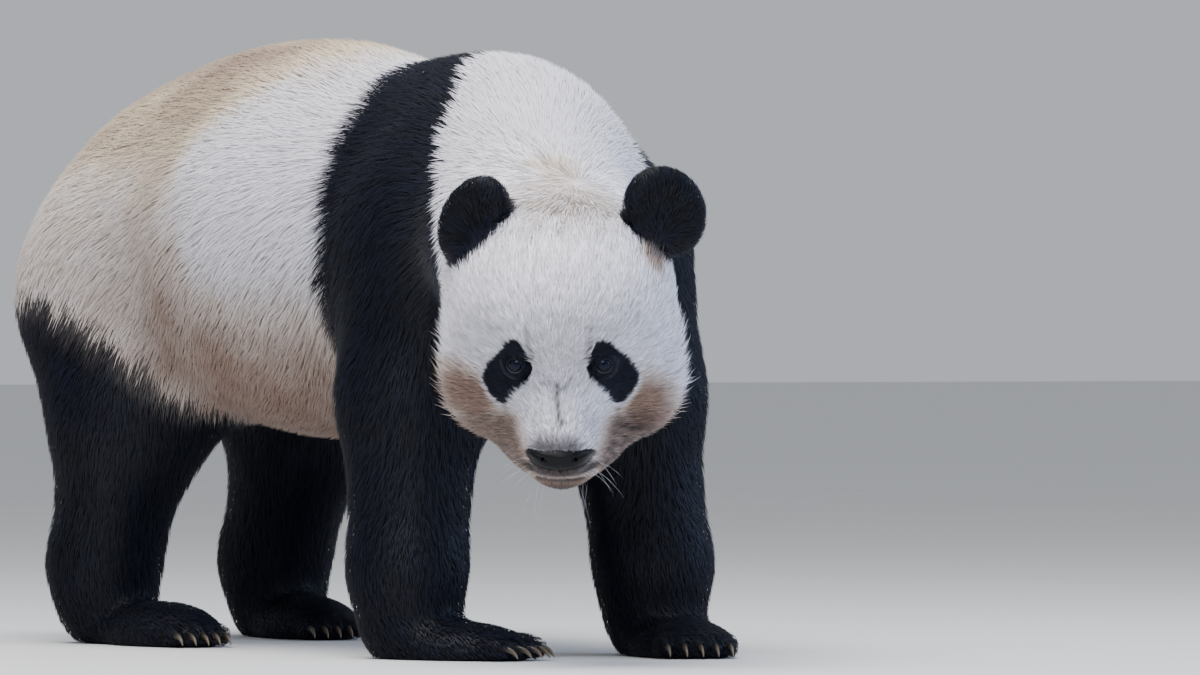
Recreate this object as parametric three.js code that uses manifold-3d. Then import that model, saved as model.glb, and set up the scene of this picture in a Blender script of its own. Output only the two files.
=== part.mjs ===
// A life-size giant panda, walking slowly with its head low and turned to its right.
//
// Millimetres, +Z up. The panda faces -Y, its left side is +X, and all four soles are flat on z = 0.
// The outer surface is the tip of the coat. It is the zero level of one smooth field: ellipsoids and
// round cones, one or two for each mass of the body, melted together by smooth minima. That surface is
// meshed once for each named part, at a cell size that suits the part, and the meshes are parted by
// planes a hair's breadth apart. Eyes, nose leather and claws are solids of their own, set in the flesh.

import * as THREE from "three";
import { mergeVertices } from "three/addons/utils/BufferGeometryUtils.js";
import Module from "manifold-3d";

const wasm = await Module();
wasm.setup();

// ---------------------------------------------------------------- driving dimensions
// The body frame has x = 0 on the spine and y = 0 midway between the forefeet.

const GAP = 0.4; // clear width between two parts that meet
const SIDES = { right: -1, left: 1 };

const HEAD = {
  centre: [-183.5, -290.5, 415],
  turn: { yaw: -35.7, pitch: 35, roll: 0.1 }, // degrees; pitch tips the face down
  backPlane: 85, // where the head is parted from the neck, behind its centre
  mesh: { cell: 27 },
};

// in the head's frame: showing is how far the ball stands out of the socket's floor
const EYE = { x: 50.6, front: -116.2, z: 5.5, radius: 14.5, showing: 5, socket: [19, 14, 13] };

const NOSE = {
  centre: [0, -179, -73],
  radii: [38, 19, 17], // half the width, depth and height of the leather
  narrowing: 0.3, // share of the width lost at the lower edge
  nostril: { centre: [16, -196, -76], radii: [7, 9, 5] },
  mesh: { cell: 9 },
};

const EAR = {
  right: { centre: [-104, 42, 110], radii: [41, 30, 63], cut: 146 },
  left: { centre: [122, 45, 120], radii: [50, 30, 62], cut: 152 },
  cup: { depth: 35, radii: [31, 22, 43] },
  lean: { yaw: 20, pitch: -12, roll: -25 },
  base: [0.62, 0.15, 0.77], // outward direction of the ear from the head's centre
  mesh: { cell: 14 },
};

// the coarse mesh of the whole panda, from which trunk, neck and legs are parted
const WHOLE = { low: [-470, -560, -60], high: [380, 1120, 860], cell: 52 };

const NECK = {
  from: [-28, 55, 548],
  to: [-145, -200, 475],
  radii: [151, 132],
  plane: { point: [-75, -85, 520], normal: [-0.45, -0.88, 0.15] },
};

const TAIL = {
  root: [0, 945, 560],
  bend: [0, 988, 500],
  tip: [0, 990, 418],
  radii: [52, 50, 34],
  behind: 975,
  between: [390, 600],
  mesh: { cell: 34 },
};

// shoulder, elbow, wrist and toes of each foreleg, and the radii of the leg at the first three
const FORELEG = {
  right: { joints: [[-88, 100, 490], [-145, 95, 320], [-172, 66, 110]], paw: [-145, -10, 12] },
  left: { joints: [[124, 97, 494], [150, 60, 320], [152, 10, 110]], paw: [140, -70, 12] },
  upper: [125, 92],
  lower: [88, 72],
  ankle: { radii: [68, 62], z: 50 },
  pawRadii: [66, 98, 36],
  toeIn: { right: 22, left: 22 },
  toes: { reach: 84, spread: 78, radius: 19 },
  melt: { knee: 40, body: 70 },
  parting: { x: 0.804, z: 0.594, at: 112, behind: 240 },
};

// hip, knee, ankle and sole of each hind leg
const HINDLEG = {
  right: { joints: [[-120, 800, 440], [-165, 720, 300], [-165, 790, 100]], paw: [-150, 670, 14] },
  left: { joints: [[120, 840, 440], [165, 830, 300], [172, 918, 100]], paw: [165, 830, 14] },
  upper: [150, 105],
  lower: [95, 70],
  ankle: { radii: [68, 60], z: 50 },
  pawRadii: [66, 122, 43],
  toeIn: { right: -8, left: 14 },
  toes: { reach: 108, spread: 66, radius: 17 },
  melt: { knee: 50, body: 80 },
  parting: { x: 0.791, z: 0.611, at: 144, before: 600 },
};

const PAW = { top: 86, mesh: { cell: 28 } };

const CLAW = { count: 5, length: 27, radius: 5.2, droop: 26, buried: 13, height: 15, rings: 3, sides: 5 };

const COLOUR = {
  white: { color: 0xe6dfd2, roughness: 0.9, metalness: 0 },
  black: { color: 0x16171c, roughness: 0.85, metalness: 0 },
  eye: { color: 0x120c08, roughness: 0.08, metalness: 0 },
  nose: { color: 0x1b1b20, roughness: 0.45, metalness: 0 },
  claw: { color: 0x4a4238, roughness: 0.4, metalness: 0 },
};

// ---------------------------------------------------------------- fields
// A field gives a signed distance, near enough, from a point [x, y, z] to a surface: negative inside.

// The smaller of two distances, rounded over a width k where they are alike.
function melt(a, b, k) {
  const h = Math.min(Math.max(0.5 + (0.5 * (b - a)) / k, 0), 1);
  return b + (a - b) * h - k * h * (1 - h);
}

// What is left of a when b is taken away, with an edge rounded over k.
const hollow = (a, b, k) => -melt(-a, b, k);

// A turn as a matrix whose columns are the turned axes: yaw about z, then pitch about x, then roll about y.
function turned({ yaw = 0, pitch = 0, roll = 0 }) {
  const rad = THREE.MathUtils.degToRad;
  return new THREE.Matrix4().makeRotationFromEuler(new THREE.Euler(rad(pitch), rad(roll), rad(yaw), "ZXY"));
}

// The point p in a frame at centre whose axes are the columns of the matrix.
function into(p, centre, matrix) {
  const e = matrix.elements;
  const [x, y, z] = [p[0] - centre[0], p[1] - centre[1], p[2] - centre[2]];
  return [0, 4, 8].map((i) => e[i] * x + e[i + 1] * y + e[i + 2] * z);
}

const outOf = (q, centre, matrix) =>
  new THREE.Vector3(...q).applyMatrix4(matrix).add(new THREE.Vector3(...centre)).toArray();

// An ellipsoid's distance, scaled to be true near its surface.
function ellipsoid(p, c, r, matrix) {
  const q = matrix ? into(p, c, matrix) : [p[0] - c[0], p[1] - c[1], p[2] - c[2]];
  const k0 = Math.hypot(q[0] / r[0], q[1] / r[1], q[2] / r[2]);
  const k1 = Math.hypot(q[0] / (r[0] * r[0]), q[1] / (r[1] * r[1]), q[2] / (r[2] * r[2]));
  return (k0 * (k0 - 1)) / Math.max(k1, 1e-9);
}

// A round cone: the hull of a ball of radius ra at a and one of radius rb at b.
function roundCone(p, a, b, ra, rb) {
  const ba = [b[0] - a[0], b[1] - a[1], b[2] - a[2]];
  const pa = [p[0] - a[0], p[1] - a[1], p[2] - a[2]];
  const l2 = ba[0] * ba[0] + ba[1] * ba[1] + ba[2] * ba[2];
  const rr = ra - rb;
  const a2 = l2 - rr * rr;
  const y = pa[0] * ba[0] + pa[1] * ba[1] + pa[2] * ba[2];
  const z = y - l2;
  const across = [0, 1, 2].map((i) => pa[i] * l2 - ba[i] * y);
  const x2 = across[0] ** 2 + across[1] ** 2 + across[2] ** 2;
  const k = Math.sign(rr) * rr * rr * x2;
  if (Math.sign(z) * a2 * z * z * l2 > k) return Math.sqrt(x2 + z * z * l2) / l2 - rb;
  if (Math.sign(y) * a2 * y * y * l2 < k) return Math.sqrt(x2 + y * y * l2) / l2 - ra;
  return (Math.sqrt((x2 * a2) / l2) + y * rr) / l2 - ra;
}

// ---------------------------------------------------------------- the masses of the body

const headTurn = turned(HEAD.turn);
const inHead = (p) => into(p, HEAD.centre, headTurn);
const fromHead = (q) => outOf(q, HEAD.centre, headTurn);

// The skull is symmetric, so it is measured on the panda's left. The face looks along -y of the head.
function head(p) {
  const q = inHead(p);
  const s = [Math.abs(q[0]), q[1], q[2]];
  let d = ellipsoid(s, [0, 20, 25], [136, 130, 115]); // cranium
  d = melt(d, ellipsoid(s, [0, -45, 45], [100, 80, 70]), 40); // forehead
  d = melt(d, ellipsoid(s, [81, -12, -69], [70, 78, 83]), 45); // cheek
  d = melt(d, ellipsoid(s, [36, -72, -118], [38, 52, 45]), 40); // jowl
  d = melt(d, roundCone(s, [0, -70, -45], [0, -148, -78], 66, 42), 35); // muzzle
  d = melt(d, roundCone(s, [0, -50, -115], [0, -114, -119], 42, 43), 25); // lower jaw
  return hollow(d, ellipsoid(s, [EYE.x, EYE.front - 4, EYE.z], EYE.socket), 12);
}

const earTurn = turned(EAR.lean);
const mirrorX = ([x, y, z], side) => [side * x, y, z];

// The ear is a thick cupped disc.
function ear(p, name) {
  const side = SIDES[name];
  const q = mirrorX(inHead(p), side);
  const centre = mirrorX(EAR[name].centre, side);
  const cup = outOf([0, -EAR.cup.depth, 0], centre, earTurn);
  const d = ellipsoid(q, centre, EAR[name].radii, earTurn);
  return hollow(d, ellipsoid(q, cup, EAR.cup.radii, earTurn), 20);
}

function trunk(p) {
  let d = ellipsoid(p, [0, 170, 490], [178, 250, 225]); // chest
  d = melt(d, ellipsoid(p, [0, 470, 500], [260, 340, 240]), 100); // barrel
  d = melt(d, ellipsoid(p, [0, 750, 516], [220, 245, 212]), 100); // rump
  d = melt(d, ellipsoid(p, [0, 154, 620], [100, 170, 110]), 80); // withers
  return melt(d, ellipsoid(p, [0, 540, 604], [150, 272, 155]), 80); // back
}

const neck = (p) => roundCone(p, NECK.from, NECK.to, ...NECK.radii);

function tail(p) {
  const upper = roundCone(p, TAIL.root, TAIL.bend, TAIL.radii[0], TAIL.radii[1]);
  return melt(upper, roundCone(p, TAIL.bend, TAIL.tip, TAIL.radii[1], TAIL.radii[2]), 20);
}

const pawTurn = (plan, name) => turned({ yaw: -SIDES[name] * plan.toeIn[name] });

// The middle of toe i, counted from the right, in the paw's own frame. The toes stand on a shallow arc.
function toeAt(plan, name, i) {
  const across = (i / (CLAW.count - 1) - 0.5) * plan.toes.spread;
  const back = 0.006 * across * across;
  return [across, back - plan.toes.reach, CLAW.height - plan[name].paw[2]];
}

// A paw is a flattened ellipsoid with a row of toes, under a short round ankle.
function paw(p, plan, name) {
  const { paw: centre, joints } = plan[name];
  const matrix = pawTurn(plan, name);
  let d = ellipsoid(p, centre, plan.pawRadii, matrix);
  const q = into(p, centre, matrix);
  for (let i = 0; i < CLAW.count; i++) {
    d = melt(d, ellipsoid(q, toeAt(plan, name, i), [plan.toes.radius * 0.8, 26, plan.toes.radius]), 9);
  }
  const [x, y] = joints[2];
  return melt(d, roundCone(p, joints[2], [x, y, plan.ankle.z], ...plan.ankle.radii), 40);
}

function leg(p, plan, name) {
  const [top, middle, bottom] = plan[name].joints;
  const upper = roundCone(p, top, middle, ...plan.upper);
  const lower = roundCone(p, middle, bottom, ...plan.lower);
  return melt(melt(upper, lower, plan.melt.knee), paw(p, plan, name), 30);
}

// The whole panda, as one surface.
function panda(p) {
  let d = melt(trunk(p), neck(p), 90);
  d = melt(d, head(p), 50);
  for (const name in SIDES) {
    d = melt(d, leg(p, FORELEG, name), FORELEG.melt.body);
    d = melt(d, leg(p, HINDLEG, name), HINDLEG.melt.body);
    d = melt(d, ear(p, name), 12);
  }
  return melt(d, tail(p), 30);
}

// ---------------------------------------------------------------- meshing

// The corners of a cell, and its twelve edges as pairs of corners.
const CORNERS = [0, 1, 2, 3, 4, 5, 6, 7].map((i) => [i & 1, (i >> 1) & 1, (i >> 2) & 1]);
const EDGES = CORNERS.flatMap((_, a) => [1, 2, 4].filter((b) => !(a & b)).map((b) => [a, a | b]));

// A closed mesh of field = 0 in a box, by surface nets: one vertex in each cell that the surface
// crosses, and one quad across each grid edge that it cuts. Points on the box's faces count as outside.
function netted(field, box, cell) {
  const low = box.min.toArray();
  const size = box.getSize(new THREE.Vector3()).toArray();
  const n = size.map((length) => Math.ceil(length / cell) + 1);
  const index = (i, j, k) => i + n[0] * (j + n[1] * k);
  const place = (i, j, k) => [low[0] + i * cell, low[1] + j * cell, low[2] + k * cell];
  const values = new Float64Array(n[0] * n[1] * n[2]);
  for (let k = 0; k < n[2]; k++) {
    for (let j = 0; j < n[1]; j++) {
      for (let i = 0; i < n[0]; i++) {
        const edge = !i || !j || !k || i === n[0] - 1 || j === n[1] - 1 || k === n[2] - 1;
        const value = field(place(i, j, k));
        values[index(i, j, k)] = edge ? Math.max(value, cell) : value;
      }
    }
  }
  const steps = [index(1, 0, 0), index(0, 1, 0), index(0, 0, 1)];
  unpinch(values, n, index, steps);
  const vertexOf = new Map();
  const positions = [];
  const triangles = [];
  for (let k = 0; k < n[2] - 1; k++) {
    for (let j = 0; j < n[1] - 1; j++) {
      for (let i = 0; i < n[0] - 1; i++) {
        const at = CORNERS.map(([a, b, c]) => values[index(i + a, j + b, k + c)]);
        const sum = [0, 0, 0];
        let cuts = 0;
        for (const [a, b] of EDGES) {
          if (at[a] < 0 === at[b] < 0) continue;
          const t = at[a] / (at[a] - at[b]);
          for (const m of [0, 1, 2]) sum[m] += CORNERS[a][m] + t * (CORNERS[b][m] - CORNERS[a][m]);
          cuts += 1;
        }
        if (!cuts) continue;
        vertexOf.set(index(i, j, k), positions.length / 3);
        const spot = place(i, j, k).map((x, m) => x + (cell * sum[m]) / cuts);
        positions.push(...settled(field, spot, cell));
      }
    }
  }
  for (let k = 0; k < n[2] - 1; k++) {
    for (let j = 0; j < n[1] - 1; j++) {
      for (let i = 0; i < n[0] - 1; i++) {
        const here = index(i, j, k);
        for (const m of [0, 1, 2]) {
          const inside = values[here] < 0;
          if (inside === values[here + steps[m]] < 0) continue;
          const [u, v] = [steps[(m + 1) % 3], steps[(m + 2) % 3]];
          const quad = [here - u - v, here - v, here, here - u].map((c) => vertexOf.get(c));
          const [a, b, c, d] = inside ? quad : quad.reverse();
          triangles.push(a, b, c, a, c, d);
        }
      }
    }
  }
  const geometry = new THREE.BufferGeometry();
  geometry.setAttribute("position", new THREE.Float32BufferAttribute(positions, 3));
  geometry.setIndex(triangles);
  return geometry;
}

// A grid square with two opposite corners inside and the other two outside would pinch the surface to
// an edge of four faces, so the shallower of its inside corners is put outside, until no square is left.
function unpinch(values, n, index, steps) {
  for (let found = true; found; ) {
    found = false;
    for (let k = 0; k < n[2] - 1; k++) {
      for (let j = 0; j < n[1] - 1; j++) {
        for (let i = 0; i < n[0] - 1; i++) {
          for (const m of [0, 1, 2]) {
            const [u, v] = [steps[m], steps[(m + 1) % 3]];
            const here = index(i, j, k);
            const square = [here, here + u, here + u + v, here + v];
            const inside = square.map((c) => values[c] < 0);
            if (inside[0] !== inside[2] || inside[1] !== inside[3] || inside[0] === inside[1]) continue;
            const [a, b] = inside[0] ? [square[0], square[2]] : [square[1], square[3]];
            values[values[a] > values[b] ? a : b] = 1e-3;
            found = true;
          }
        }
      }
    }
  }
}

// The spot moved along the field's slope onto its surface, unless it is on a cut end away from it.
function settled(field, spot, cell) {
  const reach = 0.45 * cell;
  const step = 0.02 * cell;
  let p = spot;
  for (let turn = 0; turn < 2; turn++) {
    const value = field(p);
    if (Math.abs(value) > reach) return spot;
    const slope = [0, 1, 2].map((m) => {
      const ahead = [...p];
      ahead[m] += step;
      return (field(ahead) - value) / step;
    });
    const length2 = Math.max(slope[0] ** 2 + slope[1] ** 2 + slope[2] ** 2, 0.25);
    p = p.map((x, m) => x - (value * slope[m]) / length2);
  }
  return p;
}

// ---------------------------------------------------------------- joining and cutting

// A closed geometry as a solid that can be joined and cut.
function solid(geometry) {
  const bare = geometry.clone();
  for (const name of ["normal", "uv"]) bare.deleteAttribute(name);
  const merged = mergeVertices(bare, 1e-3);
  const vertProperties = new Float32Array(merged.attributes.position.array);
  const triVerts = new Uint32Array(merged.index.array);
  return new wasm.Manifold(new wasm.Mesh({ numProp: 3, vertProperties, triVerts }));
}

// A solid's surface as a geometry with flat faces.
function geometryOf(made) {
  const { vertProperties, triVerts } = made.getMesh();
  const geometry = new THREE.BufferGeometry();
  geometry.setAttribute("position", new THREE.BufferAttribute(new Float32Array(vertProperties), 3));
  geometry.setIndex(new THREE.BufferAttribute(new Uint32Array(triVerts), 1));
  const flat = geometry.toNonIndexed();
  flat.computeVertexNormals();
  return flat;
}

// A plane that keeps the side its normal points away from.
const below = (normal, point) => ({ normal, at: new THREE.Vector3(...normal).dot(new THREE.Vector3(...point)) });
const above = (normal, point) => below(normal.map((x) => -x), point);

// The space kept by all the planes, widened by spare on every side, as a solid block.
function region(planes, spare = -GAP / 2) {
  const span = 4000;
  let block = solid(new THREE.BoxGeometry(span, span, span));
  for (const { normal, at } of planes) {
    const unit = new THREE.Vector3(...normal);
    const scale = 1 / unit.length();
    unit.multiplyScalar(-scale);
    block = block.trimByPlane(unit.toArray(), -(at * scale + spare));
  }
  return block;
}

const boxAround = (low, high) => new THREE.Box3(new THREE.Vector3(...low), new THREE.Vector3(...high));
const cubeAround = (centre, side) =>
  new THREE.Box3().setFromCenterAndSize(new THREE.Vector3(...centre), new THREE.Vector3(side, side, side));
const whole = solid(netted(panda, boxAround(WHOLE.low, WHOLE.high), WHOLE.cell));

// What the planes keep of the body, meshed finely inside a box of its own.
function fleshIn(box, cell, planes) {
  return solid(netted(panda, box, cell)).intersect(region(planes));
}

// ---------------------------------------------------------------- planes between the parts

const GROUND = above([0, 0, 1], [0, 0, -GAP / 2]); // region() draws it back to z = 0
const backward = new THREE.Vector3(0, 1, 0).transformDirection(headTurn).toArray();
const behindHead = { normal: backward, at: below(backward, fromHead([0, HEAD.backPlane, 0])).at };
const ahead = above(NECK.plane.normal, NECK.plane.point);
const astern = below(NECK.plane.normal, NECK.plane.point);

function earPlane(name) {
  const out = mirrorX(EAR.base, SIDES[name]);
  const normal = new THREE.Vector3(...out).transformDirection(headTurn).toArray();
  const foot = new THREE.Vector3(...out).setLength(EAR[name].cut).toArray();
  return { normal, point: fromHead(foot) };
}

// Each leg is everything on its side that lies outside a slanting plane from armpit or groin to back.
function legPlanes(plan, name) {
  const side = SIDES[name];
  const { x, z, at, behind, before } = plan.parting;
  const slant = { normal: [-side * x, 0, z], at };
  const middle = above([side, 0, 0], [0, 0, 0]);
  const end = behind ? below([0, 1, 0], [0, behind, 0]) : above([0, 1, 0], [0, before, 0]);
  return [slant, middle, end];
}

// ---------------------------------------------------------------- eyes, nose and claws

const eyeCentre = (side) => fromHead([side * EYE.x, EYE.front + EYE.radius - EYE.showing, EYE.z]);

function eyeball(side, spare = 0) {
  const ball = new THREE.SphereGeometry(EYE.radius + spare, 12, 8);
  return ball.translate(...eyeCentre(side));
}

// The nose leather: a wide pad, blunt in front and narrower below, with two nostrils that open sideways.
function nosePad(spare = 0) {
  const { centre, radii, narrowing, nostril, mesh } = NOSE;
  const pad = (p) => {
    const q = inHead(p);
    const low = Math.min(Math.max((centre[2] - q[2]) / radii[2], -1), 1);
    const s = [Math.abs(q[0]) * (1 + narrowing * low), q[1], q[2]];
    const d = ellipsoid(s, centre, radii) - spare;
    return spare ? d : hollow(d, ellipsoid(s, nostril.centre, nostril.radii), 3);
  };
  return netted(pad, cubeAround(fromHead(centre), 3 * radii[0]), mesh.cell);
}

// A claw is a tapered tube along an arc, with a flat root buried in the toe and a sharp tip.
function claw(plan, name, i, spare = 0) {
  const { length, radius, droop, buried, rings, sides } = CLAW;
  const [x, y, z] = toeAt(plan, name, i);
  const front = y - 26 + buried;
  const positions = [];
  const triangles = [];
  for (let ring = 0; ring <= rings; ring++) {
    const t = ring / (rings + 0.35);
    const angle = THREE.MathUtils.degToRad(droop * t * t * 2);
    const reach = length * t;
    const r = radius * (1 - 0.82 * t) + spare;
    const middle = [x, front - reach * Math.cos(angle * 0.5), z - reach * Math.sin(angle * 0.5)];
    for (let side = 0; side < sides; side++) {
      const a = (2 * Math.PI * side) / sides;
      positions.push(
        middle[0] + r * 0.75 * Math.cos(a),
        middle[1] - r * Math.sin(a) * Math.sin(angle),
        middle[2] + r * Math.sin(a) * Math.cos(angle),
      );
      if (ring === rings) continue;
      const [a0, a1] = [ring * sides + side, ring * sides + ((side + 1) % sides)];
      triangles.push(a0, a1, a0 + sides, a1, a1 + sides, a0 + sides);
    }
  }
  const last = rings * sides;
  for (let side = 1; side < sides - 1; side++) {
    triangles.push(0, side + 1, side);
    triangles.push(last, last + side, last + side + 1);
  }
  const geometry = new THREE.BufferGeometry();
  geometry.setAttribute("position", new THREE.Float32BufferAttribute(positions, 3));
  geometry.setIndex(triangles);
  return geometry.applyMatrix4(pawTurn(plan, name)).translate(...plan[name].paw);
}

// ---------------------------------------------------------------- the parts

const group = new THREE.Group();

function addPart(name, geometry, look) {
  const mesh = new THREE.Mesh(geometry, new THREE.MeshStandardMaterial(look));
  mesh.name = name;
  group.add(mesh);
}

function addHeadAndNeck() {
  const box = boxAround([-460, -560, 120], [40, 60, 700]);
  let skull = fleshIn(box, HEAD.mesh.cell, [ahead, behindHead]);
  for (const name in SIDES) {
    const { normal, point } = earPlane(name);
    const outer = new THREE.Vector3(SIDES[name], 0, 0).transformDirection(headTurn).toArray();
    const planes = [above(normal, point), above(outer, HEAD.centre)];
    const earBox = cubeAround(fromHead(EAR[name].centre), 3.4 * EAR[name].radii[2]);
    const lobe = fleshIn(earBox, EAR.mesh.cell, [...planes, ahead, behindHead]);
    addPart(`ear_${name}`, geometryOf(lobe), COLOUR.black);
    skull = skull.subtract(region(planes, GAP / 2));
    skull = skull.subtract(solid(eyeball(SIDES[name], GAP)));
    addPart(`eye_${name}`, eyeball(SIDES[name]), COLOUR.eye);
  }
  skull = skull.subtract(solid(nosePad(GAP * 2)));
  addPart("head", geometryOf(skull), COLOUR.white);
  addPart("nose", nosePad(), COLOUR.nose);
  const behindFace = { normal: backward.map((x) => -x), at: -behindHead.at };
  addPart("neck", geometryOf(whole.intersect(region([ahead, behindFace]))), COLOUR.white);
}

function addTrunkAndTail() {
  const behind = above([0, 1, 0], [0, TAIL.behind, 0]);
  const [low, high] = TAIL.between;
  const tailPlanes = [behind, above([0, 0, 1], [0, 0, low]), below([0, 0, 1], [0, 0, high])];
  let barrel = whole.intersect(region([astern, above([0, 0, 1], [0, 0, PAW.top])]));
  for (const name in SIDES) {
    for (const plan of [FORELEG, HINDLEG]) {
      barrel = barrel.subtract(region(legPlanes(plan, name), GAP / 2));
    }
  }
  barrel = barrel.subtract(region(tailPlanes, GAP / 2));
  addPart("trunk", geometryOf(barrel), COLOUR.white);
  const brush = fleshIn(boxAround([-130, 930, 360], [130, 1110, 640]), TAIL.mesh.cell, tailPlanes);
  addPart("tail", geometryOf(brush), COLOUR.white);
}

function addLeg(plan, label, name) {
  const side = SIDES[name];
  const ankle = plan[name].joints[2];
  const [px, py] = plan[name].paw;
  const planes = legPlanes(plan, name);
  const ownSide = above([side, 0, 0], [0, 0, 0]);
  const limb = whole.intersect(region([...planes, above([0, 0, 1], [0, 0, PAW.top]), astern]));
  addPart(`${label}leg_${name}`, geometryOf(limb), COLOUR.black);
  const pawBox = boxAround([px - 130, py - 190, -60], [px + 130, ankle[1] + 130, 170]);
  let foot = fleshIn(pawBox, PAW.mesh.cell, [ownSide, below([0, 0, 1], [0, 0, PAW.top]), GROUND]);
  for (let i = 0; i < CLAW.count; i++) {
    foot = foot.subtract(solid(claw(plan, name, i, GAP)));
    addPart(`${label}claw_${name}_${i + 1}`, claw(plan, name, i), COLOUR.claw);
  }
  addPart(`${label}paw_${name}`, geometryOf(foot), COLOUR.black);
}

addHeadAndNeck();
addTrunkAndTail();
for (const name in SIDES) {
  addLeg(FORELEG, "fore", name);
  addLeg(HINDLEG, "hind", name);
}

// The origin is on the ground, under the middle of the panda's length and width.
const middle = new THREE.Box3().setFromObject(group).getCenter(new THREE.Vector3());
group.position.set(-middle.x, -middle.y, 0);

export default group;
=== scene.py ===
"""A life-size giant panda, walking slowly with its head low and turned to its right.

The body is one smooth field, as the solids are: ellipsoids and round cones melted together. The skin is
that field moved in by the depth of the coat, and the coat is many thin closed tufts rooted in the skin,
which lie the way the hair grows. Eyes, nose leather and claws are pieces of their own.
Everything is worked out in the body frame (x = 0 on the spine, face towards -y, left side +x, metres)
and moved by SHIFT into the row frame when it becomes a mesh.
"""

import math

import bpy
import numpy as np
from mathutils import Matrix, Vector


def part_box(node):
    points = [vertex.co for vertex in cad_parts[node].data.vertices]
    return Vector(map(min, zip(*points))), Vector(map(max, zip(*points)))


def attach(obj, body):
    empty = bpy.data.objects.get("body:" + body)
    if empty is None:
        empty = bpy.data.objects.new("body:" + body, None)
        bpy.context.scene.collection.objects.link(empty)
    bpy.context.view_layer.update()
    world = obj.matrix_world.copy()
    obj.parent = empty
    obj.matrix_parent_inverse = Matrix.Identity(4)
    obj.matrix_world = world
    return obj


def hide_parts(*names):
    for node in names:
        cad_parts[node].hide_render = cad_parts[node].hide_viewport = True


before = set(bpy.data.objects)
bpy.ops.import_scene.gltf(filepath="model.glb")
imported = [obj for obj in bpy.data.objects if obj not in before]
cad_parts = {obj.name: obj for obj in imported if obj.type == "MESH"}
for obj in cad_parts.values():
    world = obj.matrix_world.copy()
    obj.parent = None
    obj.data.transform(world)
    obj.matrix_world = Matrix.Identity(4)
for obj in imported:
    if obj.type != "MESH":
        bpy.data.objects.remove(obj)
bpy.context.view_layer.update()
RNG = np.random.default_rng(7)


# ---------------------------------------------------------------- small tools


def vec(*xyz):
    """A point or a direction in single precision."""
    return np.array(xyz, np.float32)


def unit(v):
    """Vectors scaled to length one."""
    return v / np.maximum(np.linalg.norm(v, axis=-1, keepdims=True), 1e-9)


def mirrored(q):
    """Points folded over onto the left half of the head."""
    return np.stack([np.abs(q[:, 0]), q[:, 1], q[:, 2]], 1)


def away(q, *spot):
    """How far each point is from a spot."""
    return np.linalg.norm(q - vec(*spot), axis=1)


def smooth(x, low, high):
    """0 below low, 1 above high, and 3t^2 - 2t^3 between them."""
    t = np.clip((x - low) / (high - low), 0, 1)
    return t * t * (3 - 2 * t)


def within(x, low, high):
    """1 below low, 0 above high, and smooth between them."""
    return 1 - smooth(x, low, high)


def melt(a, b, k):
    """The smaller of two distances, rounded over a width k where they are alike."""
    h = np.clip(0.5 + 0.5 * (b - a) / k, 0, 1)
    return b + (a - b) * h - k * h * (1 - h)


def hollow(a, b, k):
    """What is left of a when b is taken away, with an edge rounded over k."""
    return -melt(-a, b, k)


def line_at(x, points):
    """A value that follows a few (x, value) pairs with straight lines between them."""
    return np.interp(x, *zip(*points))


def turned(yaw=0.0, pitch=0.0, roll=0.0):
    """A turn as a matrix whose columns are the turned axes: yaw about z, then pitch about x, then roll
    about y, in degrees."""
    a, b, c = np.radians([yaw, pitch, roll])
    about_z = np.array([[np.cos(a), -np.sin(a), 0], [np.sin(a), np.cos(a), 0], [0, 0, 1]])
    about_x = np.array([[1, 0, 0], [0, np.cos(b), -np.sin(b)], [0, np.sin(b), np.cos(b)]])
    about_y = np.array([[np.cos(c), 0, np.sin(c)], [0, 1, 0], [-np.sin(c), 0, np.cos(c)]])
    return (about_z @ about_x @ about_y).astype(np.float32)


def ellipsoid(p, centre, radii, turn=None):
    """Distance to an ellipsoid, scaled to be true near its surface."""
    q = p - vec(*centre)
    if turn is not None:
        q = q @ turn
    r = vec(*radii)
    q = q / r
    k0 = np.sqrt((q * q).sum(-1))
    q = q / r
    k1 = np.sqrt((q * q).sum(-1))
    return k0 * (k0 - 1) / np.maximum(k1, 1e-9)


def round_cone(p, a, b, ra, rb):
    """Distance to the hull of a ball of radius ra at a and one of radius rb at b."""
    a = vec(*a)
    ba = vec(*b) - a
    length = float(np.sqrt(ba @ ba))
    pa = p - a
    along = pa @ (ba / length)
    across = np.sqrt(np.maximum((pa * pa).sum(-1) - along * along, 0))
    slope = (ra - rb) / length
    rise = math.sqrt(1 - slope * slope)
    foot = np.clip(along - across * slope / rise, 0, length)
    gap = np.sqrt(across * across + (along - foot) ** 2)
    return gap - (ra + (rb - ra) * foot / length)


def rods(p, cones):
    """Distance to the nearest of some round cones."""
    return np.min([round_cone(p, *cone) for cone in cones], axis=0)


def waves(p, size, seed, count=5):
    """Smooth noise from -1 to 1: the mean of sine waves of about that size that run in seeded
    directions."""
    r = np.random.default_rng(seed)
    total = 0
    for _ in range(count):
        way = unit(r.normal(size=3)).astype(np.float32)
        total = total + np.sin(p @ way * (2 * math.pi / size) * r.uniform(0.6, 1.5) + r.uniform(0, 6.28))
    return total * (1.5 / count)


# ---------------------------------------------------------------- the masses of the body

HEAD = vec(-0.1835, -0.2905, 0.415)
HEAD_TURN = turned(yaw=-35.7, pitch=35, roll=0.1)
EAR_TURN = turned(yaw=20, pitch=-12, roll=-25)
EARS = {-1: (0.104, 0.042, 0.110), 1: (0.122, 0.045, 0.120)}
EAR_RADII = {-1: (0.041, 0.030, 0.063), 1: (0.050, 0.030, 0.062)}
EYE = vec(0.0507, -0.1054, 0.0052)
EYE_BALL = (0.0506, -0.1067, 0.0055)
EYE_RADIUS = 0.0130
MUZZLE = ((0, -0.070, -0.045), (0, -0.148, -0.078), 0.066, 0.042)
NOSE_TIP = vec(0.0, -0.195, -0.075)
WHORL = vec(0.018, 0.110, 0.130)
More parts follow.
